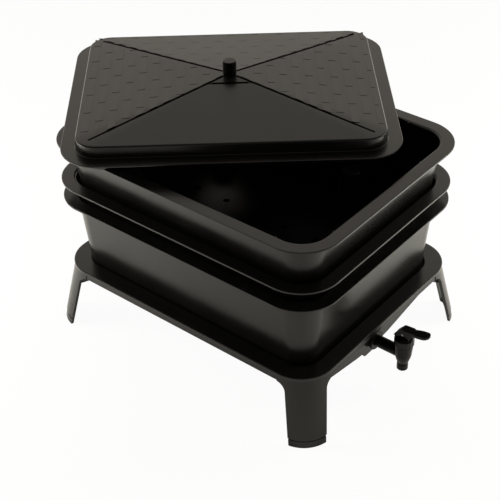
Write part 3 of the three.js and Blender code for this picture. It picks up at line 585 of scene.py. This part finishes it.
def legSides():
    # The plate, the foot's pad, the trim that sets the foot in and the groove above it, each as rings up the +X +Y
    # leg. A ring runs along the leg's face at one depth and back at another; the foot's closes straight across
    b = base
    filletSteps = np.array([1, 0.85, 0.7, 0.55, 0.42, 0.3, 0.2, 0.12, 0.06, 0.02, 0])   # closer where it curves more
    heights = np.concatenate([
        np.linspace(0, skirtBottom - b["legFillet"], 12)[:-1], skirtBottom - filletSteps * b["legFillet"],
        [bandBottom, bandBottom + b["legRoot"]],
    ])
    between = lambda z, outer, inner, squeeze: np.concatenate([
        legFace(z, outer, squeeze), legFace(z, inner, squeeze)[::-1],
    ])
    cutter = lambda low, high, depth: atHeights([
        between(max(z, 0), -cutPast, depth, -cutPast) for z in (low, high)
    ], [low, high])
    plate = atHeights([between(z, 0, b["legThickness"], 0) for z in heights], heights)
    foot = atHeights([legFace(z, b["footInset"], 0) for z in (0, b["footHeight"])], [0, b["footHeight"]])
    return plate, foot, cutter(-cutPast, b["footHeight"], b["footInset"]), cutter(*b["toeGroove"])


def legWebRings():
    # The stiffening web of four corners on the corner's diagonal, from the flange's underside down inside the leg
    b = base
    top = b["height"] - b["wall"] / 2
    heel = skirtBottom - b["webHeight"] - b["webHeel"]
    radius, _, reach = legAt(heel)
    topReach = b["corner"] - b["step"] - b["wall"] / 2
    side = np.array([
        [reach + radius - b["legThickness"] / 2, heel], [topReach, top], [topReach - b["webReach"], top],
        [topReach - b["webReach"] + b["webTaper"], skirtBottom - b["webHeight"]],
    ])
    web = turnedAboutZ(webRings(side, b["wall"]), 45)
    return shifted(web, (b["length"] / 2 - b["corner"], b["width"] / 2 - b["corner"], 0))


def mirrored(rings, signX, signY):
    # Rings on another corner; their order is turned round when one mirror would turn them inside out
    flipped = np.asarray(rings, float) * [signX, signY, 1]
    return flipped if signX * signY > 0 else flipped[:, ::-1]


def makeBase():
    # One moulding: the flanged skirt hollowed out, the tub, sump and well let into it and hollowed by the wall, the
    # tap's hole, and four legs, which are one leg mirrored to every corner
    b = base
    floor = b["height"] - b["recessDepth"]
    under = b["height"] - b["wall"]
    tool = lambda name, ringSets: solidsFromRings(name, ringSets, baseMiddle)
    atCorners = lambda name, rings: tool(name, [
        mirrored(rings, signX, signY) for signX, signY in ((1, 1), (-1, 1), (-1, -1), (1, -1))
    ])
    plate, foot, trim, groove = legSides()
    legs = atCorners("legs", plate)
    combine(legs, [
        ("DIFFERENCE", atCorners("trims", trim)),
        ("UNION", atCorners("feet", foot)),
        ("DIFFERENCE", atCorners("toeGrooves", groove)),
        ("UNION", atCorners("webs", legWebRings())),
    ])
    hole = alongX(turnedRings([(b["tapHole"], -cutPast - b["wall"]), (b["tapHole"], cutPast)], steps=40))
    tub = recessRings(recessInset - b["wall"], floor - b["wall"], under + b["wall"] / 2, 0)
    piece = tool("base_moulding", [skirtRings()])
    combine(piece, [
        ("DIFFERENCE", tool("hollow", [skirtHollowRings()])),
        ("UNION", tool("tub", [tub])),
        ("UNION", tool("sump", [sumpRings(0, floor)])),
        ("UNION", tool("well", [wellRings(0, b["tapEnd"][1])])),
        ("DIFFERENCE", tool("recess", [recessRings(recessInset, floor, b["height"], b["recessRound"])])),
        ("DIFFERENCE", tool("sumpInside", [sumpRings(b["wall"], floor + cutPast)])),
        ("DIFFERENCE", tool("wellInside", [wellRings(b["wall"], b["tapEnd"][1])])),
        ("DIFFERENCE", tool("tapHole", [shifted(hole, (tapWall, 0, b["tapHeight"]))])),
        ("UNION", legs),
    ])
    finishPiece(piece, mouldedBlack, "base", ["base"])


makeBase()
print("base made")


# Lid

lid = {
    "length": 387.9, "width": 302.9, "corner": 44.3, "turn": 40.3,
    "flangeWidth": 16.8, "flangeThickness": 2.2, "wall": 2.2, "flangeRound": 0.7, "flangeUnderRound": 0.4,
    "lipDepth": 17.7, "lipTaper": 7.5, "lipChamfer": (0.5, 0.4),
    "panHeight": 14.5, "panDraft": 0.8, "panRound": 2, "footFillet": 0.8,
    "hipRise": 15.2, "apexShare": 0.05,
    "hipShares": (0.985, 0.75, 0.5, 0.25), "skinShares": (0.5, 1),   # rings between the edge and the middle
    "grooveWidth": 3.6, "grooveDepth": 1.7, "grooveStart": 10, "grooveEnd": (160, 120.5), "crossY": 20.5,
    "bossRadius": 7.5, "bossDepth": 4.6, "screwHole": 2.8, "holeReach": 5,
    "shinglePitch": 15.33, "shingleWidth": 8.8, "shingleLength": 41.7, "shingleGap": 0.05,
    "shingleRise": 0.3, "backRise": 0.15, "shingleThin": 0.02, "shingleRoot": 0.8,
    "shingleFirst": (-166, 65), "shingleRows": (-4, 3), "shingleMargin": 2.5, "panelReach": (4, 6),
}

lidMiddle = standPoint("lid")
flangeTop = lid["lipDepth"] + lid["flangeThickness"]
panTop = flangeTop + lid["panHeight"]
platform = panTop + lid["hipRise"] * (1 - lid["apexShare"])
pan = {key: lid[key] - 2 * lid["flangeWidth"] for key in ("length", "width")}
pan["corner"] = lid["corner"] - lid["flangeWidth"]
panEdge = lid["panDraft"] + lid["panRound"]
hipHalfX, hipHalfY = pan["length"] / 2 - panEdge, pan["width"] / 2 - panEdge


def hipHeight(x, y):
    # The hipped top falls evenly from the middle to the pan's edge
    share = np.maximum(np.abs(x) / hipHalfX, np.abs(y) / hipHalfY)
    return panTop + lid["hipRise"] * (1 - share)


def lidRings():
    # From the middle of the underside out along the skin, down inside the lip and up outside it, out under the
    # flange, over its edge, in to the pan, up its wall and in over the hipped top. A hip ring is the pan's outline
    # times a share, as high as the top is there
    d = lid
    skin, taper, lipDepth = d["wall"], d["lipTaper"], d["lipDepth"]
    chamferWidth, chamferHeight = d["lipChamfer"]
    underRound, edge, foot = d["flangeUnderRound"], d["flangeRound"], d["footFillet"]
    hipRing = lambda share, depth: atHeights(
        [roundedOutline(pan, panEdge) * share], [panTop + d["hipRise"] * (1 - share) - depth])
    return np.concatenate([
        *[hipRing(share, skin) for share in (d["apexShare"], *d["skinShares"])],
        planRings(pan, [
            (skin + d["panDraft"], panTop - skin - d["panRound"] / 2), (skin, lipDepth),
            (skin + taper, chamferHeight), (skin + taper - chamferWidth, 0),
            (taper + chamferWidth, 0), (taper, chamferHeight), (0, lipDepth),
        ]),
        planRings(d, np.concatenate([
            arcPoints((underRound, lipDepth + underRound), underRound, 270, 180, steps=2),
            arcPoints((edge, flangeTop - edge), edge, 180, 90, steps=5),
        ])),
        planRings(pan, np.concatenate([
            arcPoints((-foot, flangeTop + foot), foot, 270, 360, steps=4),
            arcPoints((panEdge, panTop - d["panRound"]), d["panRound"], 180, 95, steps=8),
        ])),
        *[hipRing(share, 0) for share in (*d["hipShares"], d["apexShare"])],
    ])


def grooveRings(start, end):
    # A square-cornered cutter laid along the hipped top from one point to another, as deep below it as above
    a = np.array([*start, hipHeight(*start)])
    z = np.array([*end, hipHeight(*end)])
    run = (z - a) / np.linalg.norm(z - a)
    across = np.cross([0, 0, 1], run)
    across /= np.linalg.norm(across)
    up = np.cross(run, across)
    corners = np.array([[-1, -1], [1, -1], [1, 1], [-1, 1]]) * [lid["grooveWidth"] / 2, lid["grooveDepth"]]
    section = corners[:, :1] * across + corners[:, 1:] * up
    return np.array([a + section, z + section])


def insetTriangle(corners, margin):
    # A triangle whose sides all move in by a margin: it shrinks about the centre of its inscribed circle, whose
    # radius is twice the area over the length of all sides
    corners = np.array(corners, float)
    sides = np.linalg.norm(np.roll(corners, 1, axis=0) - np.roll(corners, -1, axis=0), axis=1)
    centre = (corners * sides[:, None]).sum(axis=0) / sides.sum()
    (ax, ay), (bx, by) = corners[1] - corners[0], corners[2] - corners[0]
    inscribed = abs(ax * by - ay * bx) / sides.sum()
    return centre + (corners - centre) * (1 - margin / inscribed)


def shinglePanels():
    # Raised strips on three of the hipped panels, each a wedge that thickens evenly towards its butt end at -Y. Every
    # second column is moved by half a length. Each panel has a prism that trims its wedges to its outline
    d = lid
    triangles = [
        (lambda x, y: -x / hipHalfX, [(0, 0), (-hipHalfX, hipHalfY), (-hipHalfX, -hipHalfY)], d["shingleRise"]),
        (lambda x, y: x / hipHalfX, [(0, 0), (hipHalfX, -hipHalfY), (hipHalfX, hipHalfY)], d["shingleRise"]),
        (lambda x, y: y / hipHalfY, [(0, 0), (hipHalfX, hipHalfY), (-hipHalfX, hipHalfY)], d["backRise"]),
    ]
    firstX, firstY = d["shingleFirst"]
    reachDown, reachUp = d["panelReach"]
    half, length = d["shingleWidth"] / 2, d["shingleLength"]
    columns = np.arange(round(-2 * firstX / d["shinglePitch"]) + 1)
    panels = []
    for share, outline, fullRise in triangles:
        outline = insetTriangle(outline, d["shingleMargin"])
        prism = atHeights([outline, outline], [panTop - reachDown, platform + reachUp])
        rise = np.array([1, 1, 0, 0]) * fullRise
        wedges = []
        for column in columns:
            for row in np.arange(*d["shingleRows"]):
                x = firstX + column * d["shinglePitch"]
                butt = firstY + (row + 0.5 * (column % 2)) * length
                tip = butt + length - d["shingleGap"]
                corner = np.array([[x - half, butt], [x + half, butt], [x + half, tip], [x - half, tip]])
                if share(*corner.mean(axis=0)) < 0:
                    continue
                level = panTop + d["hipRise"] * (1 - share(corner[:, 0], corner[:, 1]))
                heights = [level - d["shingleRoot"], level + rise + d["shingleThin"]]
                wedges.append(np.array([np.column_stack([corner, height]) for height in heights]))
        panels.append((prism, wedges))
    return panels


def makeLid():
    # One moulding: the shell with its shingles, cut by a groove down each hip and one across the front panel, and
    # the knob's boss with the screw's hole, all turned by the angle at which the lid lies
    d = lid
    endX, endY = d["grooveEnd"]
    start = d["grooveStart"] / np.hypot(endX, endY)
    ends = [(signX * endX, signY * endY) for signX, signY in ((1, -1), (1, 1), (-1, 1), (-1, -1))]
    grooves = [grooveRings((x * start, y * start), (x, y)) for x, y in ends]
    crossX = d["crossY"] * endX / endY
    cross = grooveRings((-crossX, -d["crossY"]), (crossX, -d["crossY"]))
    bossLow = platform - d["wall"] - d["bossDepth"]
    boss = turnedRings([(d["bossRadius"], bossLow), (d["bossRadius"], platform - d["wall"] / 2)])
    hole = turnedRings([(d["screwHole"], bossLow - d["holeReach"]), (d["screwHole"], platform + cutPast)], steps=32)
    tool = lambda name, ringSets: solidsFromRings(name, ringSets, lidMiddle, d["turn"])
    piece = tool("lid_moulding", [lidRings()])
    for prism, wedges in shinglePanels():
        shingles = tool("shingles", wedges)
        combine(shingles, [("INTERSECT", tool("panel", [prism]))])
        combine(piece, [("UNION", shingles)])
    combine(piece, [
        ("DIFFERENCE", tool("grooves", grooves)),
        ("DIFFERENCE", tool("cross", [cross])),
        ("UNION", tool("boss", [boss])),
        ("DIFFERENCE", tool("hole", [hole])),
    ])
    finishPiece(piece, mouldedBlack, "lid", ["lid"], sharpAngle=26)


makeLid()
print("lid made")

knob = {
    "radius": 8.2, "height": 17.25, "footChamfer": 0.4, "topRound": 1.3,
    "flutes": 14, "fluteSteps": 10, "fluteDepth": 0.55, "crownFlute": 0.1,
    "fluteEnd": 0.6,        # how much of the top's round has only the shallow flutes
    "screwHole": 2.8, "screwGrip": 11.3,
}


def makeKnob():
    # Fluted outlines stacked up the profile, with a blind hole for the screw from below
    k = knob
    place = (lidMiddle[0], lidMiddle[1], standPoint("lid_knob")[2])
    crown = arcPoints((k["radius"] - k["topRound"], k["height"] - k["topRound"]), k["topRound"], 0, 90, steps=6)
    profile = [(k["radius"] - k["footChamfer"], 0), (k["radius"], k["footChamfer"]), *crown]
    fluteEnd = k["height"] - k["fluteEnd"] * k["topRound"]
    rings = []
    for radius, height in profile:
        depth = k["fluteDepth"] if height < fluteEnd else k["crownFlute"]
        rings.append(flutedOutline(radius, depth, k["flutes"], k["fluteSteps"]))
    rings = atHeights(rings, [height for radius, height in profile])
    hole = turnedRings([(k["screwHole"], -cutPast), (k["screwHole"], k["screwGrip"])], steps=24)
    piece = solidsFromRings("lid_knob_moulding", [rings], place)
    combine(piece, [("DIFFERENCE", solidsFromRings("hole", [hole], place))])
    finishPiece(piece, glossBlack, "lid", ["lid_knob"])


makeKnob()
print("knob made")


# Tap

tapBody = {
    "noseDrop": 23, "reach": 43.1, "tailRadius": 7.3, "tailBore": 4.6, "tailInside": 13,
    "shoulderRadius": 12.5, "shoulderThickness": 3.6, "shoulderBevels": (0.5, 0.8), "washer": 2, "seatGap": 0.3,
    "nozzleRadius": 6.8, "nozzleLength": 8.5, "nozzleLip": 0.7, "nozzleEdge": [(0, 0.3), (0.2, 0)],
    "waistRadius": 6.3, "kneeRadius": 10.2, "knee": 2.5,
    "topRadius": 11.6, "top": 15, "topEdge": [(0.3, 0.8), (0.2, 0)],   # edges are insets and drops
    "chamberRadius": 8.4, "chamberFloor": 4, "outletRadius": 4.4, "sealNose": 2.2,
}

tapNose = solidBox("tap_body")[0][2] + tapBody["noseDrop"]
barrelAxis = np.array([*standPoint("tap_cap")[:2], tapNose])


def makeTapBody():
    # A barrel turned about its upright axis, whose knee widens as a sine, with a tail and shoulder turned about X.
    # The tail's bore is cut through the barrel's wall into the chamber, which narrows to the seat and the outlet
    t = tapBody
    drop = -t["noseDrop"]
    nozzleTop = drop + t["nozzleLength"]
    kneeLow = nozzleTop + 2 * t["nozzleLip"]
    nozzle = [
        (t["nozzleRadius"] - t["nozzleLip"], drop),
        *arcPoints((t["nozzleRadius"] - t["nozzleLip"], drop + t["nozzleLip"]), t["nozzleLip"], 300, 360, steps=3),
        *[(t["nozzleRadius"] - inset, nozzleTop - fall) for inset, fall in t["nozzleEdge"]],
        (t["waistRadius"], nozzleTop + t["nozzleLip"]), (t["waistRadius"], kneeLow),
    ]
    climb = np.linspace(0.1, 1, 8)
    knee = np.column_stack([
        t["waistRadius"] + (t["kneeRadius"] - t["waistRadius"]) * np.sin(climb * math.pi / 2),
        kneeLow + (t["knee"] - kneeLow) * climb,
    ])
    mouth = [(t["topRadius"] - inset, t["top"] - fall) for inset, fall in t["topEdge"]]
    length = t["reach"] + base["wall"] + t["tailInside"]
    tail = shifted(alongX(turnedRings([(t["tailRadius"], 0), (t["tailRadius"], length)])), (-length, 0, 0))
    bore = alongX(turnedRings([(t["tailBore"], 0), (t["tailBore"], length + cutPast)], steps=32))
    radius, thickness = t["shoulderRadius"], t["shoulderThickness"]
    wallBevel, noseBevel = t["shoulderBevels"]
    shoulder = alongX(turnedRings([
        (radius - wallBevel, 0), (radius, wallBevel),
        (radius, thickness - noseBevel), (radius - noseBevel, thickness),
    ]))
    shoulderStart = -t["reach"] + t["washer"] + 2 * t["seatGap"]
    seat = -t["chamberFloor"] - t["sealNose"]
    chamber = turnedRings([
        (t["outletRadius"], drop - cutPast), (t["outletRadius"], seat),
        (t["chamberRadius"], -t["chamberFloor"]), (t["chamberRadius"], t["top"] + cutPast),
    ])
    tool = lambda name, rings: solidsFromRings(name, [rings], barrelAxis)
    piece = tool("tap_body_moulding", turnedRings([*nozzle, *knee, *mouth], steps=64))
    combine(piece, [
        ("UNION", tool("tail", tail)),
        ("UNION", tool("shoulder", shifted(shoulder, (shoulderStart, 0, 0)))),
        ("DIFFERENCE", tool("bore", shifted(bore, (-length - cutPast, 0, 0)))),
        ("DIFFERENCE", tool("chamber", chamber)),
    ])
    finishPiece(piece, tapGrey, "base", ["tap_body"])


tapCap = {
    "radius": 12.2, "height": 8.6, "footChamfer": 0.4, "flutes": 18, "fluteSteps": 8, "fluteDepth": 0.5,
    "shoulderInset": 0.3, "shoulderDrop": 0.6, "shoulderFlute": 0.4,
    "crownRadius": 10.5, "crownHeight": 2.6, "crownOutset": 0.3, "crownInset": 0.4, "crownDrop": 0.5,
    "spigot": 3.5, "spigotRoot": 4, "runningGap": 0.3, "stemHole": 2.7,
}


def makeTapCap():
    # Fluted outlines stacked up a profile of (radius, height, share of the flutes' depth), a plain spigot down into
    # the chamber, and the stem's hole through both
    c = tapCap
    low = tapBody["top"] + tapBody["seatGap"]
    shoulder = low + c["height"]
    crown = shoulder + c["crownHeight"]
    profile = [
        (c["radius"] - c["footChamfer"], low, 1),
        (c["radius"], low + c["footChamfer"], 1),
        (c["radius"], shoulder - c["shoulderDrop"], 1),
        (c["radius"] - c["shoulderInset"], shoulder, c["shoulderFlute"]),
        (c["crownRadius"] + c["crownOutset"], crown - c["crownDrop"], 0),
        (c["crownRadius"] - c["crownInset"], crown, 0),
    ]
    radii, heights, shares = zip(*profile)
    rings = atHeights([
        flutedOutline(radius, c["fluteDepth"] * share, c["flutes"], c["fluteSteps"])
        for radius, share in zip(radii, shares)
    ], heights)
    spigotRadius = tapBody["chamberRadius"] - c["runningGap"]
    spigot = turnedRings([(spigotRadius, low - c["spigot"]), (spigotRadius, low + c["spigotRoot"])])
    hole = turnedRings([(c["stemHole"], -cutPast), (c["stemHole"], crown + cutPast)], steps=32)
    tool = lambda name, rings: solidsFromRings(name, [rings], barrelAxis)
    piece = tool("tap_cap_moulding", rings)
    combine(piece, [("UNION", tool("spigot", spigot)), ("DIFFERENCE", tool("hole", hole))])
    finishPiece(piece, glossBlack, "base", ["tap_cap"])


tapSpring = {"wire": 0.5, "radius": 4.6, "turns": 4, "stepsPerTurn": 28, "wireSteps": 10}


def makeTapSpring():
    # A wire carried up a helix: the wire's circle stands in the plane of the axis and turns with it
    s = tapSpring
    low, high = solidBox("tap_spring")
    climb = np.linspace(0, 1, s["turns"] * s["stepsPerTurn"] + 1)
    angle = -2 * math.pi * s["turns"] * climb
    wire = circle(s["wire"], s["wireSteps"])
    reach = s["radius"] + wire[None, :, 0]
    height = low[2] + s["wire"] + (high[2] - low[2] - 2 * s["wire"]) * climb[:, None] + wire[None, :, 1]
    x = barrelAxis[0] + reach * np.cos(angle)[:, None]
    y = barrelAxis[1] + reach * np.sin(angle)[:, None]
    piece = solidsFromRings("tap_spring_coil", [np.stack([x, y, height], axis=-1)])
    finishPiece(piece, steelBright, "base", ["tap_spring"])
    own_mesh(piece)


makeTapBody()
makeTapCap()
makeTapSpring()
print("tap made")

for nodeName, material in {
    "knob_washer": steelBright, "knob_screw": steelBright, "tap_lever_pin": steelBright,
    "tap_outer_washer": rubberBlack, "tap_inner_washer": rubberBlack, "tap_valve_seal": rubberBlack,
    "tap_nut": glossBlack, "tap_stem": glossBlack, "tap_lever": glossBlack,
}.items():
    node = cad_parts[nodeName]
    node.data.materials.clear()
    node.data.materials.append(material)
print("solids that stay given their materials")


# Floor, light and camera

studio = {
    "floorHalf": 4000, "floorColour": "#f0f0ef",
    "whiteForCamera": 0.95, "whiteInGloss": 0.04,    # how much of the floor is plain white to the camera and in gloss
    "backBearing": 129.5,                            # degrees, the side of the room behind the object
    "blend": 0.35,                                   # how wide the room's back and front run into each other
    # Brightness by height, from the horizon at 0 to straight up at 1
    "backLevels": [(0.0, 0.7), (0.3, 0.72), (0.45, 0.96), (0.6, 0.6), (0.74, 0.7), (0.9, 0.5), (1.0, 0.2)],
    "frontLevels": [(0.0, 0.06), (0.5, 0.1), (1.0, 0.2)],
    "roomWarmth": (1.0, 0.925, 0.82),
    "lampWarmth": (1.0, 0.965, 0.87),
    # Places, targets and sizes in metres, power in watts. Gloss shows only the lamps at the back, as bright edges
    "lamps": {
        "left": {"place": (-0.75, -0.6, 0.5), "target": (-0.7, -0.55, 0), "size": 0.5, "power": 13, "gloss": False},
        "right": {"place": (0.65, 0.6, 0.42), "target": (0.62, 0.57, 0), "size": 0.4, "power": 12, "gloss": False},
        "backLeft": {"place": (-1.6, 0.43, 0.62), "target": (0, 0, 0.25), "size": 0.6, "power": 1.5, "gloss": True},
        "backRight": {"place": (-0.12, 1.65, 0.62), "target": (0, 0, 0.25), "size": 0.6, "power": 2, "gloss": True},
    },
}


def makeFloor():
    # Matt paper, seen by the camera as nearly white and by gloss as a little white: the share of white is the camera
    # ray times its share, plus the glossy or transmission ray times theirs. The paper keeps the object's shadow
    mesh = bpy.data.meshes.new("floor")
    corners = np.array([[-1, -1, 0], [1, -1, 0], [1, 1, 0], [-1, 1, 0]]) * (studio["floorHalf"] * mm)
    mesh.from_pydata(corners.tolist(), [], [[0, 1, 2, 3]])
    floor = bpy.data.objects.new("floor", mesh)
    bpy.context.collection.objects.link(floor)
    material, tree, output = newMaterial("matt white paper sweep")
    light = addNode(tree, "ShaderNodeLightPath")
    inGloss = addNode(tree, "ShaderNodeMath", {"operation": "MAXIMUM"},
                      {0: light.outputs["Is Glossy Ray"], 1: light.outputs["Is Transmission Ray"]})
    glossShare = addNode(tree, "ShaderNodeMath", {"operation": "MULTIPLY", 1: studio["whiteInGloss"]},
                         {0: inGloss.outputs[0]})
    share = addNode(tree, "ShaderNodeMath", {"operation": "MULTIPLY_ADD", 1: studio["whiteForCamera"]},
                    {0: light.outputs["Is Camera Ray"], 2: glossShare.outputs[0]})
    paper = addNode(tree, "ShaderNodeBsdfDiffuse", {"Color": toLinear(studio["floorColour"])})
    white = addNode(tree, "ShaderNodeEmission", {"Color": (1, 1, 1, 1), "Strength": 1.0})
    both = addNode(tree, "ShaderNodeMixShader", None, {0: share.outputs[0], 1: paper.outputs[0], 2: white.outputs[0]})
    tree.links.new(both.outputs[0], output.inputs[0])
    floor.data.materials.append(material)


def makeWorld():
    # A room lit from its back: bright up to two thirds of the way up behind the object, dim on the camera's side.
    # Each side is a ramp by height, and the two are mixed by a direction's part along the back's bearing. The camera
    # sees plain white
    world = bpy.data.worlds.new("studio")
    world.use_nodes = True
    bpy.context.scene.world = world
    tree = world.node_tree
    tree.nodes.clear()
    output = addNode(tree, "ShaderNodeOutputWorld")
    light = addNode(tree, "ShaderNodeLightPath")
    direction = addNode(tree, "ShaderNodeTexCoord").outputs["Generated"]
    split = addNode(tree, "ShaderNodeSeparateXYZ", None, {0: direction})
    sides = []
    for levels in (studio["frontLevels"], studio["backLevels"]):
        ramp = addNode(tree, "ShaderNodeValToRGB", None, {0: split.outputs[2]})
        stops = ramp.color_ramp.elements
        for position, level in levels[1:-1]:
            stops.new(position)
        for stop, (position, level) in zip(stops, levels):
            stop.position = position
            stop.color = [level * tint for tint in studio["roomWarmth"]] + [1]
        sides.append(ramp.outputs[0])
    bearing = math.radians(studio["backBearing"])
    along = addNode(tree, "ShaderNodeVectorMath", {
        "operation": "DOT_PRODUCT", 1: (math.cos(bearing), math.sin(bearing), 0),
    }, {0: direction})
    towardsBack = addNode(tree, "ShaderNodeMapRange", {
        "interpolation_type": "SMOOTHSTEP", "From Min": -studio["blend"], "From Max": studio["blend"],
    }, {"Value": along.outputs["Value"]})
    room = addNode(tree, "ShaderNodeMix", {"data_type": "RGBA"},
                   {0: towardsBack.outputs[0], 6: sides[0], 7: sides[1]})
    sky = addNode(tree, "ShaderNodeBackground", None, {"Color": room.outputs[2]})
    white = addNode(tree, "ShaderNodeBackground", {"Color": (1, 1, 1, 1), "Strength": 1.0})
    both = addNode(tree, "ShaderNodeMixShader", None,
                   {0: light.outputs["Is Camera Ray"], 1: sky.outputs[0], 2: white.outputs[0]})
    tree.links.new(both.outputs[0], output.inputs[0])


def addLamp(name, look):
    # A round lamp that points from its place to its target
    data = bpy.data.lights.new(name, "AREA")
    data.shape = "DISK"
    data.size = look["size"]
    data.energy = look["power"]
    data.color = studio["lampWarmth"]
    lamp = bpy.data.objects.new(name, data)
    lamp.location = look["place"]
    lamp.rotation_euler = (Vector(look["target"]) - Vector(look["place"])).to_track_quat("-Z", "Y").to_euler()
    lamp.visible_camera = False
    lamp.visible_glossy = look["gloss"]
    bpy.context.collection.objects.link(lamp)


view = {
    "azimuth": 0.68999, "elevation": 0.64163, "roll": -0.022177,     # radians
    "distance": 1368.19, "target": (63.629, -88.700, 183.080),       # from the middle of the lower tray, on the floor
    "focal": 1198.26, "picture": 500,                                # pixels
    "sensor": 36, "clipEnd": 100000,
}


def makeCamera():
    # The camera stands back from its target by the distance, at a bearing and an angle above the horizon. Its right
    # and up are turned by the roll about its line of sight, and its lens is the sensor's width times the focal length
    # over the picture's
    v = view
    target = np.array(v["target"]) + standPoint("lower_tray") * [1, 1, 0]
    cosAzimuth, sinAzimuth = math.cos(v["azimuth"]), math.sin(v["azimuth"])
    cosElevation, sinElevation = math.cos(v["elevation"]), math.sin(v["elevation"])
    back = np.array([sinAzimuth * cosElevation, -cosAzimuth * cosElevation, sinElevation])
    right = np.array([cosAzimuth, sinAzimuth, 0])
    up = np.cross(back, right)
    cosRoll, sinRoll = math.cos(v["roll"]), math.sin(v["roll"])
    right, up = cosRoll * right + sinRoll * up, cosRoll * up - sinRoll * right
    data = bpy.data.cameras.new("camera")
    data.sensor_width = v["sensor"]
    data.lens = v["focal"] / v["picture"] * v["sensor"]
    data.clip_end = v["clipEnd"] * mm
    camera = bpy.data.objects.new("camera", data)
    pose = np.eye(4)
    pose[:3, :3] = np.stack([right, up, back], axis=1)
    pose[:3, 3] = (target + back * v["distance"]) * mm
    camera.matrix_world = Matrix(pose.tolist())
    bpy.context.collection.objects.link(camera)
    bpy.context.scene.camera = camera


makeFloor()
makeWorld()
for lampName, lampLook in studio["lamps"].items():
    addLamp(lampName, lampLook)
makeCamera()
bpy.context.scene.view_settings.view_transform = "Standard"
print("studio made")
